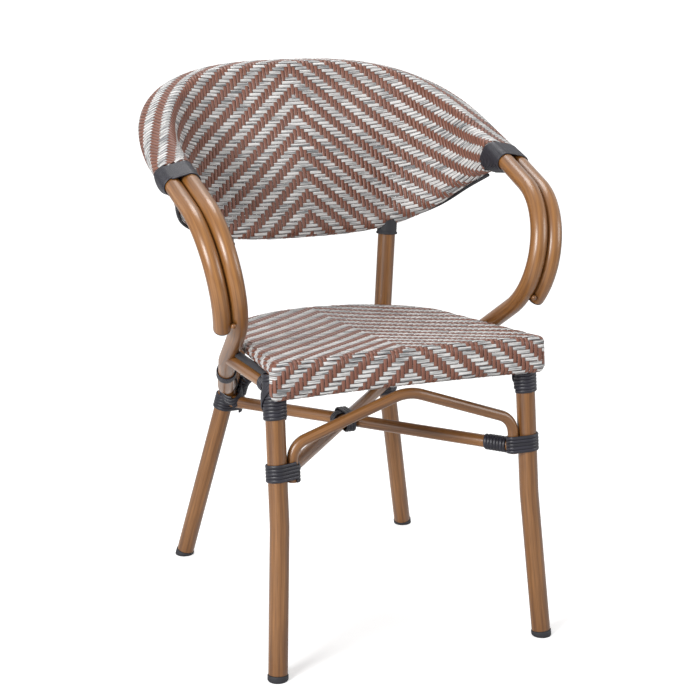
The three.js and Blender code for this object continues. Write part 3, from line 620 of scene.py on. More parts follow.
def tube(line: Vec, radius: float, sides: int = 32, ease: float = 0.0008) -> Shape:
    """A round bar along a line, with eased ends.

    Args:
        line: The centre line.
        radius: The radius.
        sides: Points round it.
        ease: How much each end's edge is rounded.

    Returns:
        The shape.
    """
    along = tangents(line)
    start, end = line[:1] + along[0] * ease, line[-1:] - along[-1] * ease
    line = np.vstack([line[:1], start, line[1:-1], end, line[-1:]])
    radii = np.full(len(line), radius)
    radii[[0, -1]] -= ease
    across, beside = carried_frames(line)
    turn = np.linspace(0, 2 * math.pi, sides, endpoint=False)
    circle = np.stack([np.cos(turn), np.sin(turn)], axis=1)
    spread = circle[None, :, :1] * across[:, None] + circle[None, :, 1:] * beside[:, None]
    rings = line[:, None] + radii[:, None, None] * spread
    run = np.broadcast_to(lengths_along(line)[:, None, None], (len(line), sides, 1))
    flat = np.broadcast_to(circle[None] * radius, (len(line), sides, 2))
    return loft(rings, np.concatenate([flat, run], axis=2))


def lathe(profile: Profile, origin: Vec, axis: Vec, sides: int = 40) -> Shape:
    """Turns a profile round an axis.

    Args:
        profile: Pairs of radius and height along the axis, from the first end to the last.
        origin: Where height nought is.
        axis: The axis, at length one.
        sides: Points round it.

    Returns:
        The shape, closed at both ends.
    """
    spread = spokes(axis, crosswise(axis), sides)
    return stacked([origin + axis * height + spread * radius for radius, height in profile])


def stacked(rings: Sequence[Vec]) -> Shape:
    """A closed shape from rings whose grain is their place in the chair."""
    return loft(np.array(rings), np.array(rings))


@dataclass
class Lines:
    """Lines that cords follow: points, the way their flat side faces, and a tone for each line."""

    points: list[Vec] = field(default_factory=list)
    facing: list[Vec] = field(default_factory=list)
    tones: list[float] = field(default_factory=list)

    def add(self, points: Vec, facing: Vec, tone: float) -> None:
        """Adds one line."""
        self.points.append(points)
        self.facing.append(facing)
        self.tones.append(tone)


class Workshop:
    """Turns shapes and lines into the chair's pieces."""

    sharp = math.radians(40)

    def __init__(self) -> None:
        """Builds the tree that every cord and strand is made by."""
        self.tree = bpy.data.node_groups.new("flat_cord_on_a_line", "GeometryNodeTree")
        self.inputs: dict[str, str] = {}
        self._build_tree()

    def _build_tree(self) -> None:
        """Mesh lines in, flat closed cords out."""
        interface = self.tree.interface
        interface.new_socket("Geometry", in_out="INPUT", socket_type="NodeSocketGeometry")
        sizes = {name: "Float" for name in ("Width", "Thickness", "Squareness")}
        for name, kind in {**sizes, "Sides": "Int", "Material": "Material"}.items():
            socket = interface.new_socket(name, in_out="INPUT", socket_type=f"NodeSocket{kind}")
            self.inputs[name] = socket.identifier
        interface.new_socket("Geometry", in_out="OUTPUT", socket_type="NodeSocketGeometry")
        graph = Graph(self.tree)
        given = {socket.name: Wire(graph, socket) for socket in graph.node("NodeGroupInput").outputs}
        links = {"Resolution": given["Sides"], "Radius": 1.0}
        circle = graph.wire("GeometryNodeCurvePrimitiveCircle", None, links)
        x, y, _ = graph.parts(graph.wire("GeometryNodeInputPosition"))
        square = given["Squareness"]
        flat_x = x.sign() * abs(x) ** square * given["Thickness"] * 0.5
        flat_y = y.sign() * abs(y) ** square * given["Width"] * 0.5
        links = {"Geometry": circle, "Position": graph.vector(flat_x, flat_y, 0.0)}
        profile = graph.wire("GeometryNodeSetPosition", None, links)
        links = {"Geometry": profile, "Name": "section", "Value": graph.wire("GeometryNodeInputPosition")}
        vector = {"data_type": "FLOAT_VECTOR"}
        profile = graph.wire("GeometryNodeStoreNamedAttribute", {**vector, "domain": "POINT"}, links)
        curve = graph.wire("GeometryNodeMeshToCurve", None, {0: given["Geometry"]})
        facing = graph.wire("GeometryNodeInputNamedAttribute", vector, {"Name": "facing"})
        curve = graph.wire("GeometryNodeSetCurveNormal", {"mode": "FREE"}, {"Curve": curve, "Normal": facing})
        links = {"Curve": curve, "Profile Curve": profile, "Fill Caps": True}
        body = graph.wire("GeometryNodeCurveToMesh", None, links)
        body = graph.wire("GeometryNodeSetShadeSmooth", None, {"Geometry": body, "Shade Smooth": True})
        body = graph.wire("GeometryNodeRealizeInstances", None, {"Geometry": body})
        body = graph.wire("GeometryNodeSetMaterial", None, {"Geometry": body, "Material": given["Material"]})
        graph.node("NodeGroupOutput", None, {0: body})

    @staticmethod
    def _store(mesh: bpy.types.Mesh, title: str, values: Vec) -> None:
        """Stores a number or a vector with each point of a mesh."""
        kind, word = ("FLOAT_VECTOR", "vector") if values.ndim > 1 else ("FLOAT", "value")
        mesh.attributes.new(title, kind, "POINT").data.foreach_set(word, values.astype(np.float32).ravel())

    @staticmethod
    def _turn_outwards(mesh: bpy.types.Mesh) -> None:
        """Flips a closed mesh that faces inwards."""
        mesh.calc_loop_triangles()
        points = np.zeros(len(mesh.vertices) * 3)
        mesh.vertices.foreach_get("co", points)
        corners = np.zeros(len(mesh.loop_triangles) * 3, int)
        mesh.loop_triangles.foreach_get("vertices", corners)
        a, b, c = points.reshape(-1, 3)[corners.reshape(-1, 3)].transpose(1, 0, 2)
        if float((a * np.cross(b, c)).sum()) < 0:
            mesh.flip_normals()

    @staticmethod
    def _settle(made: bpy.types.Object, slot: str, nodes: Sequence[str]) -> None:
        """Ties a piece to the frame: what it rides on, and the nodes it stands for, which it hides."""
        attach(made, "root")
        if nodes:
            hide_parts(*nodes)
        LOG.info("%s: %d faces, for %s", made.name, len(made.data.polygons), ", ".join(nodes) or "no node")

    def piece(self, name: str, shape: Shape, finish: Finish, *nodes: str) -> None:
        """Makes a piece of a shape.

        Args:
            name: The piece's name.
            shape: Its shape, in the plan's frame.
            finish: Its finish.
            nodes: The frame's nodes that it stands for.
        """
        mesh = bpy.data.meshes.new(name)
        mesh.from_pydata((shape.points + PLAN_SHIFT).tolist(), [], shape.faces)
        mesh.polygons.foreach_set("use_smooth", [True] * len(mesh.polygons))
        mesh.set_sharp_from_angle(angle=self.sharp)
        self._store(mesh, "grain", shape.grain)
        self._turn_outwards(mesh)
        mesh.materials.append(finish.material())
        self._settle(linked(name, mesh), finish.slot, nodes)

    def cords(self, name: str, lines: Lines, section: "Section", finish: Finish, *nodes: str) -> None:
        """Makes one piece, a plain mesh, of flat cords or strands.

        Args:
            name: The piece's name.
            lines: What the cords follow, in the plan's frame.
            section: The cord's section.
            finish: Its finish.
            nodes: The frame's nodes that it stands for.
        """
        counts = [len(line) for line in lines.points]
        starts = np.cumsum([0] + counts)
        runs = [np.arange(start, start + count) for start, count in zip(starts, counts)]
        edges = np.vstack([np.stack([run[:-1], run[1:]], 1) for run in runs])
        mesh = bpy.data.meshes.new(name)
        mesh.from_pydata((np.vstack(lines.points) + PLAN_SHIFT).tolist(), edges.tolist(), [])
        self._store(mesh, "facing", np.vstack(lines.facing))
        self._store(mesh, "along", np.concatenate([lengths_along(line) for line in lines.points]))
        self._store(mesh, "tone", np.repeat(lines.tones, counts))
        made = linked(name, mesh)
        modifier = made.modifiers.new("cord", "NODES")
        modifier.node_group = self.tree
        modifier[self.inputs["Width"]] = section.width
        modifier[self.inputs["Thickness"]] = section.thickness
        modifier[self.inputs["Squareness"]] = section.squareness
        modifier[self.inputs["Sides"]] = section.sides
        modifier[self.inputs["Material"]] = finish.material()
        depsgraph = bpy.context.evaluated_depsgraph_get()
        evaluated = made.evaluated_get(depsgraph)
        solid = bpy.data.meshes.new_from_object(evaluated, preserve_all_data_layers=True, depsgraph=depsgraph)
        made.modifiers.remove(modifier)
        made.data = solid
        bpy.data.meshes.remove(mesh)
        solid.name = name
        self._turn_outwards(solid)
        self._settle(made, finish.slot, nodes)


@dataclass(frozen=True)
class Section:
    """A flat cord's section: how wide and thick it is, and how square its edges are."""

    width: float
    thickness: float
    squareness: float = 0.6
    sides: int = 6


# The chair's own lines, from the same sizes as the frame


@dataclass(frozen=True)
class Stock:
    """Diameters of the tubes, and the weave's thickness and fit."""

    main: float = 0.028
    arm: float = 0.0248
    slim: float = 0.019
    arch: float = 0.016
    seat: float = 0.016
    weave: float = 0.0022
    fit: float = 0.0003


@dataclass(frozen=True)
class SeatPlan:
    """The seat's outline, measured over the weave."""

    front_height: float = 0.460
    front_half: float = 0.210
    front_reach: float = 0.242
    rear_half: float = 0.181
    rear_depth: float = 0.177
    waist: float = 0.010
    corner: float = 0.0125
    hollow: float = 0.010
    dish: float = 0.004
    pitch: float = math.radians(4.65)
    apron: float = 0.054
    tube_corner: float = math.radians(15)
    fold_inside: float = (Stock.seat / 2 + 2 * Stock.fit) / math.cos(tube_corner)

    @property
    def origin_height(self) -> float:
        """The height of the seat's own plane over the plan's middle."""
        return self.front_height - self.front_reach * math.sin(self.pitch)

    @property
    def fold(self) -> float:
        """From a rail's centre to the outside of the weave on it."""
        return self.fold_inside + Stock.weave

    @property
    def slope(self) -> float:
        """How much the sides draw in towards the waist."""
        return (self.front_half - self.rear_half) / (self.front_reach + self.waist)

    @property
    def corner_x(self) -> float:
        """Where the front's straight stretch ends."""
        return self.front_half - self.corner

    def half_at(self, y: float) -> float:
        """Half the seat's width at a place along it."""
        return self.rear_half + (self.waist - y) * self.slope

    def to_chair(self, points: Vec) -> Vec:
        """Points or directions from the seat's plane, turned to its pitch but not yet lifted."""
        x, y, z = points[..., 0], points[..., 1], points[..., 2]
        c, s = math.cos(self.pitch), math.sin(self.pitch)
        return np.stack([x, y * c + z * s, z * c - y * s], axis=-1)

    def lifted(self, points: Vec) -> Vec:
        """Points of the seat's plane in the chair."""
        return self.to_chair(points) + UP * self.origin_height


@dataclass(frozen=True)
class LegPlan:
    """Knees and feet of the legs."""

    cap_height: float = 0.008
    cap_lip: float = 0.001
    top_gap: float = 0.0008
    front_inset: float = 0.017
    front_setback: float = 0.041
    front_knee: float = 0.220
    front_knee_splay: float = 0.002
    front_knee_throw: float = 0.025
    front_foot_splay: float = 0.016
    front_foot_throw: float = 0.051
    front_radius: float = 0.160
    rear_knee: float = 0.365
    rear_inset: float = 0.057
    rear_setback: float = 0.012
    rear_foot_splay: float = 0.075
    rear_foot_throw: float = 0.079
    flare: float = 0.015
    rear_radius: float = 0.090
    ferrule: float = 0.004
    ferrule_wall: float = 0.0016
    ferrule_web: float = 0.007


@dataclass(frozen=True)
class BackPlan:
    """The tilted hoop of two tubes and the dished rail under it."""

    overhang: float = 0.0402
    setback: float = 0.0166
    depth: float = 0.2637
    side_height: float = 0.685
    rise: float = 0.1102
    width_power: float = 0.682
    depth_power: float = 0.613
    rise_power: float = 1.31
    reach: float = 0.9934
    pair_gap: float = 0.0007
    pair_rake: float = math.radians(14)
    rail_back: float = 0.176
    rail_height: float = 0.555
    rail_inset: float = 0.003
    rail_drop: float = 0.0195
    rail_width: tuple[float, ...] = (0, 0.35, 0.62, 0.81, 0.94, 1)
    rail_depth: tuple[float, ...] = (0, -0.07, -0.08, 0.13, 0.54, 1)
    rail_rise: tuple[float, ...] = (0, 0, 0.08, 0.31, 0.7, 1)
    stations: int = 22
    corner_run: float = 0.029
    corner_fall: float = 0.007
    edging: float = 0.005


@dataclass(frozen=True)
class ArmPlan:
    """The arms' long bend and where they come down."""

    straight: float = 0.024
    reach: float = 0.292
    inset: float = 0.0084
    fall: float = 0.0894
    radius: float = 0.103
    dip_reach: float = 0.015
    dip_clear: float = 0.005
    dip_below: float = 0.033
    heel_setback: float = 0.092
    heel_half: float = 0.171
    heel_height: float = 0.333
    heel_radius: float = 0.120
    foot_height: float = 0.313
    outer_end: float = 0.489
    spacer: float = 0.004
    spacer_lift: float = 0.012
    collar_offset: float = 0.024


@dataclass(frozen=True)
class UnderPlan:
    """Arches, crossed stretchers and side rails under the seat."""

    front_foot: float = 0.2805
    front_shoulder: float = 0.332
    front_radius: float = 0.030
    apex_radius: float = 0.060
    rear_foot: float = 0.265
    rear_shoulder: float = 0.311
    rear_radius: float = 0.026
    stretcher_front: float = 0.286
    stretcher_rear: float = 0.280
    side_rail_drop: float = 0.0264


class ChairLines:
    """Every centre line of the chair, worked out once from the plans."""

    stock = Stock()
    seat = SeatPlan()
    leg = LegPlan()
    back = BackPlan()
    arm = ArmPlan()
    under = UnderPlan()
    weave_middle = 0.6
    hoop_samples = 181
    hoop_fineness = 4
    rail_fineness = 24
    steps = 440
    saddle = 0.0155

    def __init__(self) -> None:
        """Works out the lines that others are placed from."""
        seat, leg, back, stock = self.seat, self.leg, self.back, self.stock
        drop = -2 * seat.fold - leg.top_gap
        self.front_top = seat.lifted(at(0, leg.front_setback - seat.front_reach, drop))
        self.front_half = seat.front_half - leg.front_inset
        self.rear_y = seat.waist + seat.rear_depth
        self.rear_knee_half = seat.rear_half - leg.rear_inset
        self.rear_knee_y = self.rear_y - leg.rear_setback
        self.upright_half = self.rear_knee_half + leg.flare
        self.hoop_half = seat.front_half + back.overhang
        self.pair_spacing = stock.arm + back.pair_gap
        self.corner_way = unit(at(0, -back.corner_run, -back.corner_fall))
        self.top_fold = stock.arm / 2 + 2 * stock.fit + stock.weave * self.weave_middle
        self.rail_fold = stock.slim / 2 + 4 * stock.fit + stock.weave * self.weave_middle
        shares = back.reach * np.linspace(-1, 1, self.hoop_samples)
        points = np.array([self.hoop_point(share) for share in shares])
        self.hoop = spaced(smooth_curve(points, self.hoop_fineness), self.steps)
        self.rail = self._lower_rail()
        over = self.rail[np.argmin(abs(self.rail[:, 0] - self.upright_half))]
        self.upright_top = over - UP * (self.saddle + leg.ferrule_web)

    def hoop_point(self, share: float) -> Vec:
        """A point of the inner hoop tube, from -1 at its left end to 1 at its right end."""
        back = self.back
        turn = share * math.pi / 2
        depth = math.cos(turn) ** back.depth_power
        x = math.copysign(self.hoop_half * abs(math.sin(turn)) ** back.width_power, share)
        height = back.side_height + back.rise * depth**back.rise_power
        return at(x, back.setback + back.depth * depth, height)

    def corner(self, side: Side) -> Vec:
        """Where the hoop's inner tube meets the arm."""
        back = self.back
        return self.hoop_point(side.value * back.reach) - at(0, back.corner_run, back.corner_fall)

    def _lower_rail(self) -> Vec:
        """The rail that the weave is stretched down to, from left to right."""
        back = self.back
        end = self.hoop_point(back.reach) - at(back.rail_inset, 0, back.rail_drop)
        middle = at(0, back.rail_back, back.rail_height)
        shares = np.stack([back.rail_width, back.rail_depth, back.rail_rise], axis=1)
        half = middle + shares * (end - middle)
        points = np.vstack([half[:0:-1] * (-1, 1, 1), half])
        return spaced(smooth_curve(points, self.rail_fineness), self.steps)

    def front_leg(self, side: Side) -> list[Vec]:
        """Foot, knee and top of a front leg."""
        leg, top, s = self.leg, self.front_top, side.value
        return [
            at(s * (self.front_half + leg.front_foot_splay), top[1] - leg.front_foot_throw, 0),
            at(s * (self.front_half + leg.front_knee_splay), top[1] - leg.front_knee_throw, leg.front_knee),
            at(s * self.front_half, top[1], top[2]),
        ]

    def rear_leg(self, side: Side) -> list[Vec]:
        """Foot, knee and top of a rear leg."""
        leg, s = self.leg, side.value
        return [
            at(s * (self.rear_knee_half + leg.rear_foot_splay), self.rear_knee_y + leg.rear_foot_throw, 0),
            at(s * self.rear_knee_half, self.rear_knee_y, leg.rear_knee),
            at(s * self.upright_half, self.upright_top[1], self.upright_top[2]),
        ]

    @staticmethod
    def on_leg(corners: Sequence[Vec], height: float) -> Vec:
        """A point of a leg's corner line at a height."""
        low, knee, top = corners
        if height < knee[2]:
            return low + (knee - low) * (height / knee[2])
        return knee + (top - knee) * ((height - knee[2]) / (top[2] - knee[2]))

    def arm_line(self, side: Side) -> Vec:
        """The inner arm tube, from the back's corner to the rear leg."""
        arm, corner, s = self.arm, self.corner(side), side.value
        dip = self.seat.half_at(-arm.dip_reach) + arm.dip_clear + self.stock.arm / 2
        corners = [
            corner,
            corner + self.corner_way * arm.straight,
            at(corner[0] - s * arm.inset, corner[1] - arm.reach, corner[2] - arm.fall),
            at(s * dip, -arm.dip_reach, self.seat.origin_height - arm.dip_below),
            at(s * arm.heel_half, arm.heel_setback, arm.heel_height),
            self.on_leg(self.rear_leg(side), arm.foot_height),
        ]
        return bent_line(corners, [arm.radius, arm.radius, arm.radius, arm.heel_radius])

    def rake(self, origin: Vec) -> Vec:
        """How far the pair of tubes leans, at places along the hoop."""
        back = self.back
        depth = np.clip((origin[..., 1] - back.setback) / back.depth, 0, 1)
        return back.pair_rake * (1 - depth**3)

    def shifts(self, origin: Vec, out: Vec, above: Vec) -> Vec:
        """From the inner tube to the outer one."""
        rake = self.rake(origin)[..., None]
        return self.pair_spacing * (out * np.cos(rake) - above * np.sin(rake))

    def corner_shift(self, side: Side) -> Vec:
        """From the inner tube to the outer one where they meet the arms."""
        out = at(side.value, 0, 0)
        above = unit(np.cross(self.corner_way, out))
        above = above if above[2] > 0 else -above
        return self.shifts(self.corner(side), out, above)

    def outer_arm_line(self, side: Side) -> Vec:
        """The outer arm tube, down to its free end."""
        line = self.arm_line(side) + self.corner_shift(side)
        below = int(np.argmax(line[:, 2] < self.arm.outer_end))
        a, b = line[below - 1], line[below]
        end = a + (b - a) * ((self.arm.outer_end - a[2]) / (b[2] - a[2]))
        return np.vstack([line[:below], end])

    def seat_front_under(self) -> Vec:
        """Where the front arch touches the apron's underside."""
        seat, fit = self.seat, self.stock.fit
        return seat.lifted(at(0, seat.hollow + seat.fold - seat.front_reach, -seat.apron - 2 * fit))

    def arch_line(self, rear: bool) -> Vec:
        """An arch between two legs.

        Args:
            rear: Whether it is the rear one.

        Returns:
            Its centre line, from left to right.
        """
        under, stock, seat = self.under, self.stock, self.seat
        if rear:
            legs, radius, heights = self.rear_leg, under.rear_radius, (under.rear_foot, under.rear_shoulder)
            touch = seat.lifted(at(0, self.rear_y - seat.fold, -2 * seat.fold - 2 * stock.fit))
        else:
            legs, radius = self.front_leg, under.front_radius
            heights = (under.front_foot, under.front_shoulder)
            touch = self.seat_front_under()
        left, right = (
            [self.on_leg(legs(side), height) - SIDEWAYS * side.value * self.arch_offset for height in heights]
            for side in Side
        )
        apex = at(0, touch[1], touch[2] - stock.arch / 2)
        return bent_line([*left, apex, *reversed(right)], [radius, under.apex_radius, radius])

    @property
    def arch_offset(self) -> float:
        """From a leg's centre to the arch tube beside it."""
        return self.stock.main / 2 + self.stock.arch / 2 + 2 * self.stock.fit

    def stretcher_ends(self, side: Side) -> tuple[Vec, Vec]:
        """The stretcher that starts at the front leg of a side."""
        other = Side.LEFT if side is Side.RIGHT else Side.RIGHT
        return (
            self.on_leg(self.front_leg(side), self.under.stretcher_front),
            self.on_leg(self.rear_leg(other), self.under.stretcher_rear),
        )

    def crossing(self) -> Vec:
        """Where the stretchers cross, in the chair's middle plane."""
        start, end = self.stretcher_ends(Side.RIGHT)
        return start + (end - start) * (start[0] / (start[0] - end[0]))

    def side_rail(self, side: Side) -> tuple[Vec, Vec]:
        """The rail under the seat's side, from the front leg to the arm."""
        leg = self.on_leg(self.front_leg(side), self.seat.origin_height - self.under.side_rail_drop)
        line = self.arm_line(side)
        passed = (line[:, 1] > -self.seat.front_reach / 2) & (line[:, 2] < leg[2])
        index = int(np.argmax(passed))
        a, b = line[index - 1], line[index]
        return leg, a + (b - a) * ((a[2] - leg[2]) / (a[2] - b[2]))


# Woven surfaces


class Sheet:
    """A woven sheet: it knows where in the chair a flat place, a column's and a row's coordinate, is."""

    batch = 4000

    def solve(self, flat: Vec) -> tuple[Vec, Vec]:
        """What place and room need of each flat place.

        Args:
            flat: Places as pairs of column and row coordinate.

        Returns:
            A row of the sheet's own numbers for each place, and how far inside the hem each is.
        """
        raise NotImplementedError

    def place(self, found: Vec) -> tuple[Vec, Vec]:
        """Points and outward directions for rows that solve gave."""
        raise NotImplementedError

    def nearest(self, places: Vec, known: Vec) -> Vec:
        """For each flat place, the index of the nearest known one."""
        parts = [places[start : start + self.batch] for start in range(0, len(places), self.batch)]
        return np.concatenate([((part[:, None] - known[None]) ** 2).sum(2).argmin(1) for part in parts])


@dataclass
class Skin:
    """Points of a sheet and the way out at each, laid stretch by stretch."""

    points: Vec
    facing: Vec

    def lay(self, where: Vec, base: Vec, way: Vec, radius: float) -> None:
        """Puts the points of a mask at a distance from a base, facing away from it."""
        self.points[where] = (base + way * radius)[where]
        self.facing[where] = way[where]


class BackSheet(Sheet):
    """The back: over both hoop tubes, down the dished face and under the rail, laid out as a cut cloth is."""

    band_half = 0.0217
    hem_angle = math.radians(100)
    tube_hem_angle = math.radians(95)
    tube_hem_least = 0.2
    open_height = 0.090
    least_open = 0.3
    least_hem = 0.2
    fineness = 6
    stretch_turn = math.radians(24)
    stretch_power = 3.0
    end_trim = 0.0115
    top_gain = 0.0065
    gain_reach = 0.02
    end_room = 0.02
    station_room = 0.0065
    search_step = 3.0
    search_heights = np.linspace(-0.04, 0.36, 27)
    search_margin = 0.02
    rounds = 16
    slide_step = 0.5
    climb_step = 0.0005
    least_area = 1e-7
    widest_slide = 3.0
    widest_climb = 0.02
    overrun = 6
    widest_miss = 0.0008

    def __init__(self, lines: ChairLines) -> None:
        """Works out the sections of the back, between the corners' bindings, and lays them out flat."""
        self.lines = lines
        back, steps = lines.back, lines.back.stations
        inset = lines.corner_way * (self.band_half + lines.stock.fit)
        start, end = (lines.corner(side) - inset for side in Side)
        path = np.vstack([start, lines.hoop, end])
        run = lengths_along(path)
        tip = float(np.linalg.norm(start - lines.hoop[0]))
        coarse = tip + (run[-1] - 2 * tip) * np.arange(steps + 1) / steps
        coarse[0], coarse[-1] = 0, run[-1]
        count = steps * self.fineness
        fine = np.interp(np.arange(count + 1) / self.fineness, np.arange(steps + 1), coarse)
        self.top = read_line(path, fine)
        self.out, self.above = self._frames(self.top, back.setback)
        self.shift = lines.shifts(self.top, self.out, self.above)
        self.rail = spaced(lines.rail, count)
        self.rail_out, self.rail_above = self._frames(self.rail, back.setback)
        self._measure()
        self._lay_out()

    @staticmethod
    def _frames(line: Vec, middle: float, passes: int = 3) -> tuple[Vec, Vec]:
        """Outward and upward directions across a line that bends round the sitter."""
        along = tangents(line)
        for _ in range(passes):
            along[1:-1] = unit(along[:-2] + along[1:-1] + along[2:])
        out = unit(np.cross(UP, along))
        away = line[:, :2] - (0, middle)
        out[(away * out[:, :2]).sum(1) < 0] *= -1
        above = unit(np.cross(along, out))
        above[above[:, 2] < 0] *= -1
        return out, above

    def _measure(self) -> None:
        """Angles and lengths of each section."""
        lines = self.lines
        r0, r1 = lines.top_fold, lines.rail_fold
        drop = self.rail - self.top
        flat = np.stack([(drop * self.out).sum(1), (drop * self.above).sum(1)], axis=1)
        distance = np.linalg.norm(flat, axis=1)
        reach = np.clip((r0 - r1) / distance, -1, 1)
        self.lean = np.arctan2(flat[:, 1], flat[:, 0]) - np.arccos(reach) + 2 * math.pi
        openness = np.clip((distance - lines.stock.arm) / self.open_height, 0, 1)
        self.crown = math.pi / 2 - lines.rake(self.top)
        outer_end = -self.tube_hem_angle * (self.tube_hem_least + (1 - self.tube_hem_least) * openness)
        hem_end = 1.5 * math.pi + self.hem_angle * np.maximum(openness, self.least_open)
        hem_end = np.maximum(hem_end, self.lean + self.least_hem)
        self.face_top = self.top + r0 * self.radial(self.out, self.above, self.lean)
        self.face_low = self.rail + r1 * self.radial(self.rail_out, self.rail_above, self.lean)
        self.face = np.linalg.norm(self.face_top - self.face_low, axis=1)
        self.low_limit = -r1 * (hem_end - self.lean)
        round_inner = r0 * (self.lean - self.crown)
        self.high_limit = self.face + round_inner + lines.pair_spacing + r0 * (self.crown - outer_end)

    @staticmethod
    def radial(out: Vec, above: Vec, angle: Vec) -> Vec:
        """Directions at angles across a line."""
        return out * np.cos(angle)[:, None] + above * np.sin(angle)[:, None]

    @staticmethod
    def _third(a: Vec, b: Vec, from_a: float, from_b: float, hand: int) -> Vec:
        """The corner of a triangle on one hand of a to b, from its distances to them."""
        length = np.linalg.norm(b - a)
        along = (from_a**2 - from_b**2 + length**2) / (2 * length)
        away = math.sqrt(max(from_a**2 - along**2, 0))
        way = (b - a) / length
        return a + way * along + np.array((way[1], -way[0])) * away * hand

    def _lay_out(self) -> None:
        """Unrolls the face, ruling by ruling, from the middle to both sides, where it is also drawn down."""
        count, down, up = len(self.face), self.face_low, self.face_top
        middle = count // 2
        low, high = np.zeros((count, 2)), np.zeros((count, 2))
        high[middle] = (0, self.face[middle])
        for hand in (1, -1):
            turned = 0.0
            for i in range(middle, count - 1 if hand > 0 else 0, hand):
                j = i + hand
                to_low, to_high = np.linalg.norm((down[j] - down[i], down[j] - up[i]), axis=1)
                low[j] = self._third(low[i], high[i], to_low, to_high, hand)
                to_low, to_high = np.linalg.norm((up[j] - down[j], up[j] - up[i]), axis=1)
                high[j] = self._third(low[j], high[i], to_low, to_high, hand)
                wanted = -hand * self.stretch_turn * (abs(j - middle) / middle) ** self.stretch_power
                ruling, centre = np.stack([low[j], high[j]]), (low[i] + high[i]) / 2
                low[j], high[j] = self._turned(ruling, centre, wanted - turned)
                turned = wanted
        self.flat_low, self.flat_high = low, high
        self.flat_up, self.flat_down = (self._edge_normals(line) for line in (high, low))

    @staticmethod
    def _turned(points: Vec, centre: Vec, angle: float) -> Vec:
        """Flat points turned about a centre."""
        c, s = math.cos(angle), math.sin(angle)
        return centre + (points - centre) @ np.array(((c, s), (-s, c)))

    @staticmethod
    def _edge_normals(line: Vec, passes: int = 6) -> Vec:
        """Directions square to a flat line that runs from left to right, pointing up."""
        way = tangents(line)
        normals = np.stack([-way[:, 1], way[:, 0]], axis=1)
        for _ in range(passes):
            normals[1:-1] = unit(normals[:-2] + 2 * normals[1:-1] + normals[2:])
        return normals

    @staticmethod
    def _read(values: Vec, station: Vec) -> Vec:
        """Values between stations, carried on straight past the ends."""
        index = np.clip(np.floor(station).astype(int), 0, len(values) - 2)
        share = (station - index)[(...,) + (None,) * (values.ndim - 1)]
        return values[index] * (1 - share) + values[index + 1] * share

    def _flat(self, station: Vec, height: Vec) -> Vec:
        """The flat place of each station and height, square to the tube and the rail where it goes round."""
        face = self._read(self.face, station)
        share = np.clip(height / face, 0, 1)[:, None]
        low, high = self._read(self.flat_low, station), self._read(self.flat_high, station)
        over = np.clip(height - face, 0, None)[:, None]
        under = np.clip(height, None, 0)[:, None]
        wraps = self._read(self.flat_up, station) * over + self._read(self.flat_down, station) * under
        return low * (1 - share) + high * share + wraps

    def _first_guess(self, flat: Vec) -> tuple[Vec, Vec]:
        """The station and height of the nearest of a grid of places that are laid out flat."""
        stations = np.arange(0, len(self.face), self.search_step)
        station, height = (g.ravel() for g in np.meshgrid(stations, self.search_heights))
        below = height < self._read(self.high_limit, station) + self.search_margin
        kept = below & (height > self._read(self.low_limit, station) - self.search_margin)
        best = self.nearest(flat, self._flat(station[kept], height[kept]))
        return station[kept][best], height[kept][best]

    def solve(self, flat: Vec) -> tuple[Vec, Vec]:
        """Station and height on the section for each flat place, and how far inside the hem it is."""
        count = len(self.face)
        station, height = self._first_guess(flat)
        half, step = self.slide_step, self.climb_step
        for _ in range(self.rounds):
            miss = flat - self._flat(station, height)
            slide = (self._flat(station + half, height) - self._flat(station - half, height)) / (2 * half)
            climb = (self._flat(station, height + step) - self._flat(station, height - step)) / (2 * step)
            area = slide[:, 0] * climb[:, 1] - slide[:, 1] * climb[:, 0]
            area = np.where(abs(area) < self.least_area, self.least_area, area)
            along = (miss[:, 0] * climb[:, 1] - miss[:, 1] * climb[:, 0]) / area
            up = (slide[:, 0] * miss[:, 1] - slide[:, 1] * miss[:, 0]) / area
            station = station + np.clip(along, -self.widest_slide, self.widest_slide)
            station = np.clip(station, -self.overrun, count - 1 + self.overrun)
            height = height + np.clip(up, -self.widest_climb, self.widest_climb)
        miss = np.linalg.norm(flat - self._flat(station, height), axis=1)
        over = np.clip((height - self._read(self.face, station)) / self.gain_reach, 0, 1)
        inset = count * (self.end_trim - self.top_gain * over) - self.end_room
        edges = [
            (station - inset) * self.station_room,
            (count - 1 - station - inset) * self.station_room,
            height - self._read(self.low_limit, station),
            self._read(self.high_limit, station) - height,
        ]
        room = np.where(miss > self.widest_miss, OFF_SHEET, np.minimum.reduce(edges))
        return np.stack([station, height], axis=1), room

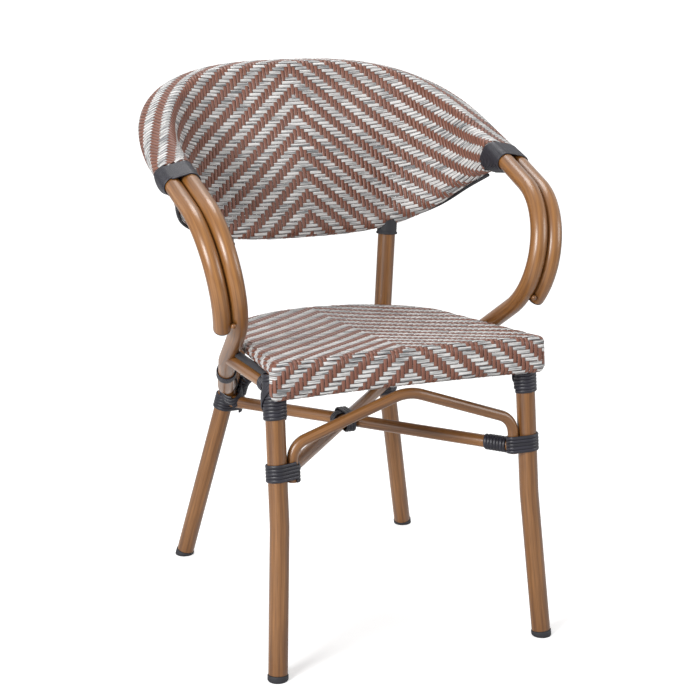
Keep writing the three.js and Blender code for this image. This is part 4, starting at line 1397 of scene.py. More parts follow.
    def place(self, found: Vec) -> tuple[Vec, Vec]:
        """Points and outward directions on the sections."""
        lines = self.lines
        r0, r1 = lines.top_fold, lines.rail_fold
        station, height = np.clip(found[:, 0], 0, len(self.face) - 1), found[:, 1]
        keys = ("top", "out", "above", "shift", "rail", "rail_out", "rail_above", "lean", "crown", "face")
        top, out, above, shift, rail, rail_out, rail_above, lean, crown, face = (
            self._read(getattr(self, key), station) for key in keys
        )
        upper = self.radial(out, above, lean)
        lower = self.radial(rail_out, rail_above, lean)
        share = np.clip(height / face, 0, 1)[:, None]
        points = (rail + lower * r1) * (1 - share) + (top + upper * r0) * share
        skin = Skin(points, lower * (1 - share) + upper * share)
        skin.lay(height < 0, rail, self.radial(rail_out, rail_above, lean - height / r1), r1)
        rise = height - face
        skin.lay(rise > 0, top, self.radial(out, above, lean - rise / r0), r0)
        across = rise - r0 * (lean - crown)
        bridge = np.clip(across / lines.pair_spacing, 0, 1)[:, None]
        skin.lay(across > 0, top + shift * bridge, self.radial(out, above, crown), r0)
        past = across - lines.pair_spacing
        skin.lay(past > 0, top + shift, self.radial(out, above, crown - past / r0), r0)
        return skin.points, unit(skin.facing)


class SeatSheet(Sheet):
    """The seat: a dished plane rolled round its hoop, and at the front folded down over the apron's rail."""

    hem_turn = math.radians(230)
    apron_hem_turn = math.radians(140)
    blend_from = -0.09
    corner_turn = math.radians(75)
    rear_steps = 400
    side_steps = 200
    front_steps = 81

    def __init__(self, lines: ChairLines) -> None:
        """Works out the outline of the rail that the sheet is rolled round."""
        self.lines = lines
        seat = lines.seat
        self.radius = seat.fold - Stock.weave / 2
        self.front = seat.fold - seat.front_reach
        self.drop = seat.apron - 2 * seat.fold
        self.corner_radius = seat.corner - Stock.weave / 2
        turn = np.linspace(0, math.pi, self.rear_steps)
        rear = np.stack([seat.rear_half * np.cos(turn), seat.waist + seat.rear_depth * np.sin(turn)], 1)
        way = np.stack([np.cos(turn) / seat.rear_half, np.sin(turn) / seat.rear_depth], 1)
        y = np.linspace(seat.corner - seat.front_reach, seat.waist, self.side_steps, endpoint=False)
        side = np.stack([seat.rear_half + (seat.waist - y) * seat.slope, y], 1)
        side_way = np.tile((1.0, seat.slope), (self.side_steps, 1))
        edge = np.vstack([side, rear, side[::-1] * (-1, 1)])
        self.normal = unit(np.vstack([side_way, way, side_way * (-1, 1)]))
        self.ring = edge - self.normal * seat.fold
        self.pole = np.array((0.0, -seat.waist))
        front_x = np.linspace(-seat.corner_x, seat.corner_x, self.front_steps)
        front = np.stack([front_x, self.front + self._hollow(front_x)], 1)
        arms = np.vstack([self.ring, front]) - self.pole
        angle = np.arctan2(arms[:, 1], arms[:, 0])
        order = np.argsort(angle)
        self.arm_angle, self.arm_length = angle[order], np.linalg.norm(arms, axis=1)[order]

    def _hollow(self, x: Vec) -> Vec:
        """How far the front edge is set back at a place along it."""
        seat = self.lines.seat
        return seat.hollow * (1 - np.clip(abs(x) / seat.corner_x, 0, 1) ** 2)

    def solve(self, flat: Vec) -> tuple[Vec, Vec]:
        """The flat places as they are, and how far inside the hem each is."""
        x, w = flat[:, 0], flat[:, 1]
        _, away = self._beside(self._plan(flat))
        inside = self.radius * self.hem_turn - away
        over = self.front - w
        depth = self.radius * (math.pi / 2 + self.apron_hem_turn) + self.drop
        limit = self.lines.seat.corner_x + self.corner_turn * self.corner_radius
        apron = np.minimum(depth - over, limit - abs(x))
        return flat.copy(), np.where(over > 0, apron, inside)

    def _plan(self, flat: Vec) -> Vec:
        """Flat places in plan: rows take up the front edge's hollow as they come near it."""
        x, w = flat[:, 0], flat[:, 1]
        share = np.clip((self.blend_from - w) / (self.blend_from - self.front), 0, 1)
        share = share * share * (3 - 2 * share)
        return np.stack([x, w + self._hollow(x) * share], 1)

    def _beside(self, plan: Vec) -> tuple[Vec, Vec]:
        """The nearest point of the rail and how far outside it each place is."""
        best = self.nearest(plan, self.ring)
        return best, ((plan - self.ring[best]) * self.normal[best]).sum(1)

    @staticmethod
    def _bulge(normal: Vec, angle: Vec) -> Vec:
        """Directions that turn from straight up to a flat direction and on."""
        return np.column_stack([normal * np.sin(angle)[:, None], np.cos(angle)])

    def place(self, found: Vec) -> tuple[Vec, Vec]:
        """Points and outward directions on the seat, its roll and its apron."""
        seat, r = self.lines.seat, self.radius
        x, over = found[:, 0], self.front - found[:, 1]
        plan = self._plan(found)
        best, away = self._beside(plan)
        arm = plan - self.pole
        angle = np.arctan2(arm[:, 1], arm[:, 0])
        reach = np.interp(angle, self.arm_angle, self.arm_length, period=2 * math.pi)
        share = np.clip(np.linalg.norm(arm, axis=1) / reach, 0, 1)
        dish = -seat.dish * (1 - share**2)
        skin = Skin(np.column_stack([plan, dish - seat.fold + r]), np.tile(UP, (len(found), 1)))
        normal, near = self.normal[best], self.ring[best]
        way = np.stack([-normal[:, 1], normal[:, 0]], 1)
        rail = near + way * ((plan - near) * way).sum(1)[:, None]
        rail = np.column_stack([rail, np.full(len(found), -seat.fold)])
        skin.lay(away > 0, rail, self._bulge(normal, away / r), r)
        bend_round = np.clip((abs(x) - seat.corner_x) / self.corner_radius, 0, None)
        normal = np.stack([np.sin(bend_round) * np.sign(x), -np.cos(bend_round)], 1)
        inset = seat.corner - seat.fold
        rail = np.stack([np.clip(x, -seat.corner_x, seat.corner_x), self.front + inset + self._hollow(x)], 1)
        past = over - r * math.pi / 2
        rail = np.column_stack([rail + normal * inset, -seat.fold - np.clip(past, 0, self.drop)])
        turn = np.clip(over / r, 0, math.pi / 2) + np.clip(past - self.drop, 0, None) / r
        skin.lay(over > 0, rail, self._bulge(normal, turn), r)
        return seat.lifted(skin.points), unit(seat.to_chair(skin.facing))


class Family(Enum):
    """The two ways that strands run."""

    COLUMNS = 0
    ROWS = 1


@dataclass(frozen=True)
class Twill:
    """A chevron twill: over and under three, a step on at each neighbour, mirrored at X nought."""

    column_pitch: float
    row_pitch: float
    float_length: int = 3
    lift: float = 0.00062
    crown: float = 0.00012
    edge_room: float = 0.33
    seed: int = 7
    drift: float = 0.00010
    least_step: float = 0.0003
    least_length: float = 0.003

    def strands(self, sheet: Sheet, family: Family, box: Box, phase: float) -> Lines:
        """Lays one family of strands on a sheet.

        Args:
            sheet: The sheet.
            family: Columns or rows.
            box: Lowest and highest column coordinate, then lowest and highest row coordinate.
            phase: The row coordinate at which a chevron's single column stands.

        Returns:
            The lines that the strands follow.
        """
        low_x, high_x, low_w, high_w = box
        columns = range(math.ceil(low_x / self.column_pitch), math.floor(high_x / self.column_pitch) + 1)
        low_row = math.floor((low_w - phase) / self.row_pitch)
        rows = range(low_row, math.ceil((high_w - phase) / self.row_pitch) + 1)
        lines = Lines()
        in_rows = family is Family.ROWS
        strands, crossed = (rows, columns) if in_rows else (columns, rows)
        random = np.random.default_rng(self.seed + family.value)
        for strand in strands:
            tone = float(random.random())
            drift = float(random.normal(0, self.drift))
            places, heights = self._run(strand, crossed, family)
            here = np.full(len(places), strand)
            column, row = (places, here) if in_rows else (here, places)
            shift = np.array((0.0, drift) if in_rows else (drift, 0.0))
            flat = np.stack([column * self.column_pitch, row * self.row_pitch + phase], 1) + shift
            self._lay(lines, sheet, flat, heights, tone)
        return lines

    def _over(self, column: int, row: int) -> bool:
        """Whether the row's strand lies over the column's."""
        return (abs(column) + row) % (2 * self.float_length) >= self.float_length

    def _run(self, strand: int, crossed: range, family: Family) -> tuple[Vec, Vec]:
        """A strand's points, in steps of the strands it crosses, and how far off the sheet they are."""
        if family is Family.ROWS:
            states = [self._over(other, strand) for other in crossed]
        else:
            states = [not self._over(strand, other) for other in crossed]
        found: list[tuple[float, float]] = []
        start = 0
        for i in range(1, len(states) + 1):
            if i < len(states) and states[i] == states[start]:
                continue
            first, last = crossed[start] - 0.5, crossed[i - 1] + 0.5
            sign = 1 if states[start] else -1
            found.append((first + self.edge_room, sign * self.lift))
            if i - start > 2:
                found.append(((first + last) / 2, sign * (self.lift + self.crown)))
            found.append((last - self.edge_room, sign * self.lift))
            start = i
        places, heights = np.array(found).T
        return places, heights

    def _lay(self, lines: Lines, sheet: Sheet, flat: Vec, heights: Vec, tone: float) -> None:
        """Cuts a strand to the sheet's hem and adds what is left of it."""
        found, room = sheet.solve(flat)
        rows = np.column_stack([found, heights])
        pieces: list[list[Vec]] = [[]]
        for i, row in enumerate(rows):
            if i and (room[i] > 0) != (room[i - 1] > 0) and min(room[i], room[i - 1]) > OFF_SHEET / 2:
                pieces[-1].append(rows[i - 1] + (row - rows[i - 1]) * (room[i - 1] / (room[i - 1] - room[i])))
            if room[i] > 0:
                pieces[-1].append(row)
            elif pieces[-1]:
                pieces.append([])
        for piece in (np.array(piece) for piece in pieces if len(piece) > 1):
            points, facing = sheet.place(piece[:, :2])
            points = points + facing * piece[:, 2:]
            keep = np.concatenate(([True], np.linalg.norm(np.diff(points, axis=0), axis=1) > self.least_step))
            if keep.sum() > 1 and lengths_along(points)[-1] > self.least_length:
                lines.add(points[keep], facing[keep], tone)


@dataclass
class Weave:
    """The woven seat and back, as strands."""

    shop: Workshop
    lines: ChairLines
    back_twill: Twill = Twill(0.0064, 0.00574)
    seat_twill: Twill = Twill(0.0064, 0.00595)
    weft: Section = Section(0.0056, 0.0013, 0.55)
    warp: Section = Section(0.0062, 0.0013, 0.55)
    back_box: Box = (-0.5, 0.5, -0.3, 0.4)
    seat_box: Box = (-0.245, 0.245, -0.36, 0.235)
    back_phase: float = 0.0134
    seat_phase: float = -0.2613

    def build(self) -> None:
        """Weaves the back and the seat."""
        self._weave("back", BackSheet(self.lines), self.back_twill, self.back_box, self.back_phase)
        self._weave("seat", SeatSheet(self.lines), self.seat_twill, self.seat_box, self.seat_phase)

    def _weave(self, word: str, sheet: Sheet, twill: Twill, box: Box, phase: float) -> None:
        """Makes the two families of one sheet."""
        rows = twill.strands(sheet, Family.ROWS, box, phase)
        self.shop.cords(f"{word}_pale_strands", rows, self.weft, WEFT, f"woven_{word}")
        columns = twill.strands(sheet, Family.COLUMNS, box, phase)
        self.shop.cords(f"{word}_brown_strands", columns, self.warp, WARP, f"woven_{word}")


# Sub-assemblies


@dataclass
class Legs:
    """Four bent legs with their foot caps and the cups under the back."""

    shop: Workshop
    lines: ChairLines
    cap_edge: float = 0.0012
    cap_wall: float = 0.003
    cap_sides: int = 40
    cap_ease: float = 0.3
    cap_shoulder: float = 0.6
    cap_crest: float = 0.1
    cup_fit: float = 0.0004
    cup_edge: float = 0.0005
    cup_lip: float = 0.0012
    cup_ease: float = 0.0006
    cup_ring: float = 0.0036
    cup_over_ring: float = 0.0050
    saddle_fit: float = 0.0012
    saddle_edge: float = 0.0015
    saddle_least: float = 0.001
    cup_sides: int = 48

    def build(self) -> None:
        """Makes the legs of both sides."""
        lines, leg = self.lines, self.lines.leg
        for side in Side:
            front, rear = lines.front_leg(side), lines.rear_leg(side)
            self._leg(f"front_leg_{side.word}", front, leg.front_radius)
            self._leg(f"rear_leg_{side.word}", rear, leg.rear_radius)
            self._foot(f"front_foot_cap_{side.word}", front)
            self._foot(f"rear_foot_cap_{side.word}", rear)
            self._ferrule(side)

    def _leg(self, name: str, corners: Sequence[Vec], radius: float) -> None:
        """One leg, from its cap to its top."""
        start = self.lines.on_leg(corners, self.lines.leg.cap_height)
        line = bent_line([start, corners[1], corners[2]], [radius])
        self.shop.piece(f"{name}_tube", tube(line, self.lines.stock.main / 2), CANE, name)

    def _foot(self, name: str, corners: Sequence[Vec]) -> None:
        """A cap that is square to its leg above and flat on the floor below."""
        leg, edge = self.lines.leg, self.cap_edge
        bore = self.lines.stock.main / 2
        lip = bore + leg.cap_lip
        axis = unit(corners[1] - corners[0])
        top = self.lines.on_leg(corners, leg.cap_height)
        spread = spokes(axis, SIDEWAYS, self.cap_sides)

        def on_floor(radius: float, lift: float) -> Vec:
            """A ring across the leg's end, carried down its axis to a level."""
            start = top + spread * radius
            return start - axis * ((start[:, 2] - lift) / axis[2])[:, None]

        inner, ease = lip - edge, edge * self.cap_ease
        low = ((inner - edge, 0.0), (inner + ease, 0.0), (lip, edge))
        brim = ((lip, self.cap_shoulder), (lip - ease, self.cap_crest))
        high = (*brim, (inner, 0.0), (bore - self.cap_wall, 0.0))
        rings = [on_floor(radius, lift) for radius, lift in low]
        rings += [top - axis * edge * share + spread * radius for radius, share in high]
        self.shop.piece(f"{name}_moulding", stacked(rings), FITTING, name)

    def _ferrule(self, side: Side) -> None:
        """The black cup between an upright and the rail, with a saddle to the rail's curve."""
        lines, leg, rail = self.lines, self.lines.leg, self.lines.rail
        _, knee, top = lines.rear_leg(side)
        axis = unit(top - knee)
        inner = lines.stock.main / 2 + self.cup_fit
        outer = inner + leg.ferrule_wall
        lip = outer + self.cup_lip
        spread = spokes(axis, BACKWARDS, self.cup_sides)

        def saddle(radius: float) -> Vec:
            """A ring carried up the axis until it meets the rail's wrapping."""
            start = top + spread * radius
            nearest = rail[((start[:, None, :2] - rail[None, :, :2]) ** 2).sum(2).argmin(1)]
            offset = start[:, 1] - nearest[:, 1]
            square = (lines.rail_fold + self.saddle_fit) ** 2 - offset**2
            drop = np.sqrt(np.maximum(square, self.saddle_least**2))
            return start + axis * (nearest[:, 2] - drop - start[:, 2])[:, None]

        steps = (
            (inner, self.cup_ease),
            (inner + self.cup_edge, 0.0),
            (outer - self.cup_edge, 0.0),
            (lip, self.cup_ease),
            (lip, self.cup_ring),
            (outer, self.cup_ring + self.cup_ease),
            (outer, self.cup_over_ring),
        )
        rings = [top + axis * (height - leg.ferrule) + spread * radius for radius, height in steps]
        rings += [saddle(outer), saddle(outer - self.saddle_edge)]
        name = f"upright_ferrule_{side.word}"
        self.shop.piece(f"{name}_moulding", stacked(rings), FITTING, name)


@dataclass
class BackFrame:
    """The hoop's two tubes, the dished rail, and the cord along the rail's underside."""

    shop: Workshop
    lines: ChairLines
    edging_low: float = math.radians(80)
    edging_middle: float = math.radians(35)
    edging_fit: float = 0.0012
    rail_trim: int = 20
    thinning: int = 4
    sides: int = 24
    edging_sides: int = 16

    def build(self) -> None:
        """Makes the tubes and the edging."""
        lines, stock, back = self.lines, self.lines.stock, self.lines.back
        sheet = BackSheet(lines)
        left, right = (lines.corner(side) for side in Side)
        inner = np.vstack([left, lines.hoop, right])[:: self.thinning]
        self._tube("hoop_inner", inner, stock.arm, "top_rail_inner")
        left, right = (lines.corner(side) + lines.corner_shift(side) for side in Side)
        outer = np.vstack([left, sheet.top + sheet.shift, right])
        self._tube("hoop_outer", outer, stock.arm, "top_rail_outer")
        rail = lines.rail[self.rail_trim : -self.rail_trim : self.thinning]
        self._tube("back_rail", rail, stock.slim, "back_lower_rail")
        reach = lines.rail_fold + self.edging_fit + back.edging / 2
        share = np.linspace(-1, 1, len(sheet.rail)) ** 2
        angle = -self.edging_low * share - self.edging_middle * (1 - share)
        edge = sheet.rail + sheet.radial(sheet.rail_out, sheet.rail_above, angle) * reach
        trim = int(len(edge) * sheet.end_trim * 2)
        cord = tube(edge[trim:-trim], back.edging / 2, self.edging_sides)
        self.shop.piece("back_edging_cord", cord, FITTING, "back_edging")

    def _tube(self, word: str, line: Vec, diameter: float, node: str) -> None:
        """One of the back's tubes."""
        self.shop.piece(f"{word}_tube", tube(line, diameter / 2, self.sides), CANE, node)


@dataclass
class Arms:
    """Two arms of two tubes each, a plug in the free end, a bead between them and a collar at the foot."""

    shop: Workshop
    lines: ChairLines
    overlap: float = 0.00001
    bead_flat: float = 0.15
    bead_steps: int = 13
    plug: Profile = (
        (-0.004, -0.001),
        (-0.0002, 0.0),
        (0.0, 0.0004),
        (0.0, 0.00125),
        (-0.0008, 0.002125),
        (-0.003, 0.0025),
    )
    collar: Profile = (
        (-0.001, 0.0),
        (0.0018, 0.0),
        (0.0024, 0.0008),
        (0.0024, 0.0052),
        (0.0018, 0.006),
        (-0.001, 0.006),
    )

    def build(self) -> None:
        """Makes the arms of both sides."""
        lines, stock, arm = self.lines, self.lines.stock, self.lines.arm
        radius = (stock.arm + lines.back.pair_gap) / 2 + self.overlap
        for side in Side:
            inner, outer = lines.arm_line(side), lines.outer_arm_line(side)
            for name, line in ((f"arm_{side.word}", inner), (f"outer_arm_{side.word}", outer)):
                self.shop.piece(f"{name}_tube", tube(line, radius), CANE, name)
            way = unit(outer[-1] - outer[-2])
            self._turned(f"arm_end_plug_{side.word}", "moulding", self.plug, outer[-1], way)
            self._bead(side, outer[-1], way)
            way = unit(inner[-1] - inner[-2])
            place = inner[-1] - way * (stock.main / 2 + arm.collar_offset)
            self._turned(f"arm_collar_{side.word}", "ring", self.collar, place, way)

    def _turned(self, name: str, word: str, profile: Profile, place: Vec, way: Vec) -> None:
        """A black fitting from a profile of steps off the tube's surface and heights along it."""
        radius = self.lines.stock.arm / 2
        shape = lathe([(radius + step, height) for step, height in profile], place, way)
        self.shop.piece(f"{name}_{word}", shape, FITTING, name)

    def _bead(self, side: Side, end: Vec, way: Vec) -> None:
        """The small brown bead that holds the two tubes apart."""
        arm, stock = self.lines.arm, self.lines.stock
        shift = self.lines.corner_shift(side)
        forward = unit(np.cross(shift, way))
        forward = -forward if forward[1] > 0 else forward
        reach = stock.arm / 2 + arm.spacer + stock.fit
        middle = end - way * arm.spacer_lift - shift * 0.5
        middle = middle + forward * math.sqrt(reach**2 - (self.lines.pair_spacing / 2) ** 2)
        quarter = math.pi / 2 - self.bead_flat
        turn = np.linspace(-quarter, quarter, self.bead_steps)
        profile = [(arm.spacer * math.cos(t), arm.spacer * math.sin(t)) for t in turn]
        name = f"arm_spacer_{side.word}"
        self.shop.piece(f"{name}_bead", lathe(profile, middle, way), CANE, name)


@dataclass
class Underframe:
    """Arches, crossed stretchers, and side rails with the black strips that the seat rests on."""

    shop: Workshop
    lines: ChairLines
    strip: float = 0.0052
    strip_sides: int = 16
    leg_room: float = 0.004
    arm_room: float = 0.002

    def build(self) -> None:
        """Makes them."""
        lines, stock = self.lines, self.lines.stock
        for rear, name in ((False, "front_arch"), (True, "rear_arch")):
            shape = tube(lines.arch_line(rear), stock.arch / 2)
            self.shop.piece(f"{name}_tube", shape, CANE, name)
        self._bar("long_stretcher_tube", lines.stretcher_ends(Side.LEFT), "stretcher_full")
        start, end = lines.stretcher_ends(Side.RIGHT)
        cross = lines.crossing()
        self._bar("front_half_stretcher_tube", (start, cross), "stretcher_half_front")
        self._bar("rear_half_stretcher_tube", (cross, end), "stretcher_half_rear")
        for side in Side:
            start, end = lines.side_rail(side)
            self._bar(f"side_rail_{side.word}_tube", (start, end), f"side_rail_{side.word}")
            way = unit(end - start)
            lift = UP * (stock.slim / 2 + self.strip)
            start = start + way * (stock.main / 2 + self.leg_room) + lift
            end = end - way * (stock.arm / 2 + self.arm_room) + lift
            strip = tube(np.array([start, end]), self.strip, self.strip_sides)
            self.shop.piece(f"seat_rest_strip_{side.word}", strip, FITTING)

    def _bar(self, name: str, ends: tuple[Vec, Vec], node: str) -> None:
        """A straight slim tube."""
        self.shop.piece(name, tube(np.array(ends), self.lines.stock.slim / 2), CANE, node)


@dataclass(frozen=True)
class Circle:
    """A tube's circle in a binding's own plane."""

    x: float
    radius: float


@dataclass(frozen=True)
class Place:
    """Where a binding starts and how it lies: along the tubes, and across them."""

    origin: Vec
    along: Vec
    towards: Vec

    def axes(self) -> tuple[Vec, Vec, Vec]:
        """Directions along, across and beside the bundle."""
        along = unit(self.along)
        across = unit(self.towards - along * (self.towards @ along))
        return along, across, np.cross(along, across)


@dataclass(frozen=True)
class Winding:
    """A flat cord laid turn by turn round one tube or two.

    Its turns may lean along the tubes, stand off by the flare and hang by the sag. Where fade is given, all
    three die out over that many turns.
    """

    circles: tuple[Circle, ...]
    turns: float
    pitch: float
    section: Section
    per_turn: int = 40
    seat: float = 0.0003
    lean: tuple[float, float] = (0.0, 0.0)
    flare: float = 0.0
    sag: float = 0.0
    fade: float = 0.0

    @property
    def lift(self) -> float:
        """From a tube's surface to the cord's middle."""
        return self.seat + self.section.thickness / 2

    def line(self, place: Place, tone: float) -> Lines:
        """The cord's line.

        Args:
            place: Where the first turn's lower edge is.
            tone: The shade that the cord takes.

        Returns:
            One line.
        """
        outline, normals = self._outline()
        count = len(outline)
        run = lengths_along(np.vstack([outline, outline[:1]]))
        index = np.arange(int(self.turns * count) + 1)
        along, across, beside = place.axes()
        whole, rest = np.divmod(index, count)
        flat, normal = outline[rest], normals[rest]
        share = np.clip(1 - index / count / self.fade, 0, 1) if self.fade else np.ones(len(index))
        rise = self.pitch * (whole + run[rest] / run[-1]) + self.section.width / 2
        rise = rise + flat @ np.array(self.lean) * share
        flat = flat + normal * (self.flare * share)[:, None]
        flat[:, 1] += self.sag * share * np.clip(normal[:, 1] * np.sign(self.sag), 0, 1)
        points = place.origin + across * flat[:, :1] + beside * flat[:, 1:] + along * rise[:, None]
        return Lines([points], [across * normal[:, :1] + beside * normal[:, 1:]], [tone])

    def round_path(self, path: Vec, tone: float) -> Lines:
        """The cord's line round one tube that bends.

        Args:
            path: The tube's centre line from the first turn's edge on.
            tone: The shade that the cord takes.

        Returns:
            One line.
        """
        turn = np.arange(int(self.turns * self.per_turn) + 1) / self.per_turn
        centre = read_line(path, turn * self.pitch + self.section.width / 2)
        across, beside = carried_frames(centre)
        angle = turn[:, None] * 2 * math.pi
        way = across * np.cos(angle) + beside * np.sin(angle)
        return Lines([centre + way * (self.circles[0].radius + self.lift)], [way], [tone])

    def _arc(self, circle: Circle, turn: Vec) -> tuple[Vec, Vec]:
        """Points of the cord round one tube, with the way out at each."""
        way = np.stack([np.cos(turn), np.sin(turn)], 1)
        return way * (circle.radius + self.lift) + (circle.x, 0), way

    def _outline(self) -> tuple[Vec, Vec]:
        """One turn round the bundle, with the way out at each point."""
        near, far = self.circles[0], self.circles[-1]
        if near is far:
            return self._arc(near, np.linspace(0, 2 * math.pi, self.per_turn, endpoint=False))
        touch = math.acos((near.radius - far.radius) / (far.x - near.x))
        half = self.per_turn // 2
        far_arc = self._arc(far, np.linspace(-touch, touch, half))
        near_arc = self._arc(near, np.linspace(touch, 2 * math.pi - touch, half))
        return np.vstack([far_arc[0], near_arc[0]]), np.vstack([far_arc[1], near_arc[1]])


@dataclass(frozen=True)
class Lashing:
    """Slanting turns over a joint: how many, their start below it, their lean and their lift off the tube."""

    word: str
    turns: int
    below: float
    lean: float
    lift: float = 0.0


@dataclass
class Bindings:
    """Every black binding: at the back's corners, on legs, side rails and stretchers, and over the cross."""

    shop: Workshop
    lines: ChairLines
    broad: Section = Section(0.0052, 0.0026, 0.85, 10)
    fine: Section = Section(0.0046, 0.0026, 0.9, 10)
    sleeve: Section = Section(0.0052, 0.0024, 0.85, 10)
    pitch: float = 0.005
    slim_steps: int = 30
    path_steps: int = 600
    tones: int = 97
    corner_turns: int = 10
    corner_pitch: float = 0.004
    corner_slack: float = 0.0034
    corner_steps: int = 44
    fan_turns: int = 3
    fan_lean: float = 0.6
    fan_flare: float = 0.0009
    fan_sag: float = 0.022
    fan_fade: float = 12.0
    front_height: float = 0.281
    rear_height: float = 0.264
    top_height: float = 0.369
    leg_turns: int = 5
    top_turns: int = 13
    rail_turns: int = 3
    rail_room: float = 0.0031
    sleeve_turns: int = 7
    sleeve_room: float = 0.0044
    top_lashings: tuple[Lashing, ...] = (
        Lashing("over", 1, 0.0, 1.0),
        Lashing("under", 3, 0.0176, -1.1, 0.0024),
    )
    foot_lashings: tuple[Lashing, ...] = (
        Lashing("over", 3, 0.0, 1.3),
        Lashing("under", 3, 0.0176, -1.3, 0.0024),
    )
    strap_turns: int = 4
    strap_pitch: float = 0.0045
    strap_height: float = 0.381
    strap_tone: float = 0.4
    arch_height: float = 0.2885
    arch_tone: float = 0.6
    cross_turns: int = 3
    cross_spread: float = 0.010
    cross_lift: float = 0.0024

    def build(self) -> None:
        """Makes them all."""
        for side in Side:
            self._corner(side)
            self._legs(side)
            self._rail_and_sleeve(side)
            self._leg_top(side)
            self._arm_foot(side)
            self._strap_and_arch(side)
        self._cross()

    def _wind(self, name: str, winding: Winding, place: Place, *nodes: str) -> None:
        """One binding as a piece."""
        tone = (sum(map(ord, name)) % self.tones) / self.tones
        self.shop.cords(name, winding.line(place, tone), winding.section, BLACK_CORD, *nodes)

    def _corner(self, side: Side) -> None:
        """Turns round both tubes where the arms meet the back, the first ones fanned out and wider."""
        lines, name = self.lines, f"corner_binding_{side.word}"
        shift = lines.corner_shift(side)
        radius = lines.stock.arm / 2
        winding = Winding(
            (Circle(0, radius), Circle(float(np.linalg.norm(shift)), radius)),
            self.corner_turns + self.fan_turns,
            self.corner_pitch,
            self.fine,
            self.corner_steps,
            lean=(0.0, side.value * self.fan_lean),
            flare=self.fan_flare,
            sag=-side.value * self.fan_sag,
            fade=self.fan_fade,
        )
        length = self.corner_turns * self.corner_pitch + self.corner_slack
        start = lines.corner(side) - lines.corner_way * (length / 2 + self.fan_turns * self.corner_pitch)
        self._wind(f"{name}_cord", winding, Place(start, lines.corner_way, shift), name)

    def _legs(self, side: Side) -> None:
        """Bindings that hold the arches to the legs, and those over the front legs' tops."""
        lines, front = self.lines, self.lines.front_leg(side)
        leg = Circle(0, lines.stock.main / 2)
        pair = (leg, Circle(lines.arch_offset, lines.stock.arch / 2))
        for word, corners, height, circles, turns in (
            ("front_leg_binding", front, self.front_height, pair, self.leg_turns),
            ("rear_leg_binding", lines.rear_leg(side), self.rear_height, pair, self.leg_turns),
            ("front_leg_top_binding", front, self.top_height, (leg,), self.top_turns),
        ):
            origin = lines.on_leg(corners, height)
            along = lines.on_leg(corners, height + lines.stock.main) - origin
            name = f"{word}_{side.word}"
            winding = Winding(circles, turns, self.pitch, self.broad)
            self._wind(f"{name}_cord", winding, Place(origin, along, at(-side.value, 0, 0)), name)

    def _rail_and_sleeve(self, side: Side) -> None:
        """Turns round the side rail and round the stretcher, each beside the front leg."""
        lines, slim, main = self.lines, self.lines.stock.slim / 2, self.lines.stock.main / 2
        beside_leg, beside_both = main + self.rail_room, main + slim + self.sleeve_room
        for word, ends, turns, room in (
            ("side_rail_binding", lines.side_rail(side), self.rail_turns, beside_leg),
            ("stretcher_sleeve", lines.stretcher_ends(side), self.sleeve_turns, beside_both),
        ):
            way = unit(ends[1] - ends[0])
            name = f"{word}_{side.word}"
            winding = Winding((Circle(0, slim),), turns, self.pitch, self.sleeve, self.slim_steps)
            self._wind(f"{name}_cord", winding, Place(ends[0] + way * room, way, UP), name)

    def _lash(self, name: str, place: Place, rows: Sequence[Lashing]) -> None:
        """Slanting turns round a leg where another tube meets it.

        Args:
            name: The pieces' names, with the lashing's word left open.
            place: Where the tubes meet, the leg's direction and the other tube's.
            rows: The lashings, one piece each.
        """
        for row in rows:
            circle = Circle(0, self.lines.stock.main / 2 + row.lift)
            winding = Winding((circle,), row.turns, self.pitch, self.broad, lean=(row.lean, 0.0))
            lower = Place(place.origin - place.along * row.below, place.along, place.towards)
            self._wind(name.format(row.word), winding, lower)

    def _leg_top(self, side: Side) -> None:
        """Slanting turns that tie the side rail to the front leg's top."""
        start, end = self.lines.side_rail(side)
        _, knee, top = self.lines.front_leg(side)
        place = Place(start, unit(top - knee), end - start)
        self._lash(f"front_leg_top_lashing_{{}}_{side.word}_cord", place, self.top_lashings)

    def _arm_foot(self, side: Side) -> None:
        """The lashing of the arm's foot and the arch to the rear leg."""
        arm, leg = self.lines.arm_line(side), self.lines.rear_leg(side)
        foot = self.lines.on_leg(leg, self.lines.arm.foot_height)
        place = Place(foot, unit(leg[2] - leg[1]), arm[-2] - arm[-1])
        self._lash(f"arm_foot_lashing_{{}}_{side.word}_cord", place, self.foot_lashings)

    def _strap_and_arch(self, side: Side) -> None:
        """The strap round the arm above its foot, and the sleeve on the rear arch's end."""
        lines, stock = self.lines, self.lines.stock
        arm, arch = spaced(lines.arm_line(side), self.path_steps), lines.arch_line(True)
        arm = arm[int(np.argmax(arm[:, 2] < self.strap_height)) :]
        arch = spaced(arch if side is Side.LEFT else arch[::-1], self.path_steps)
        arch = arch[int(np.argmax(arch[:, 2] > self.arch_height)) :]
        strap = Winding((Circle(0, stock.arm / 2),), self.strap_turns, self.strap_pitch, self.broad)
        around = (Circle(0, stock.arch / 2),)
        wrap = Winding(around, self.sleeve_turns, self.pitch, self.sleeve, self.slim_steps)
        for word, winding, path, tone in (
            ("arm_strap", strap, arm, self.strap_tone),
            ("rear_arch_sleeve", wrap, arch, self.arch_tone),
        ):
            name = f"{word}_{side.word}_cord"
            self.shop.cords(name, winding.round_path(path, tone), winding.section, BLACK_CORD)

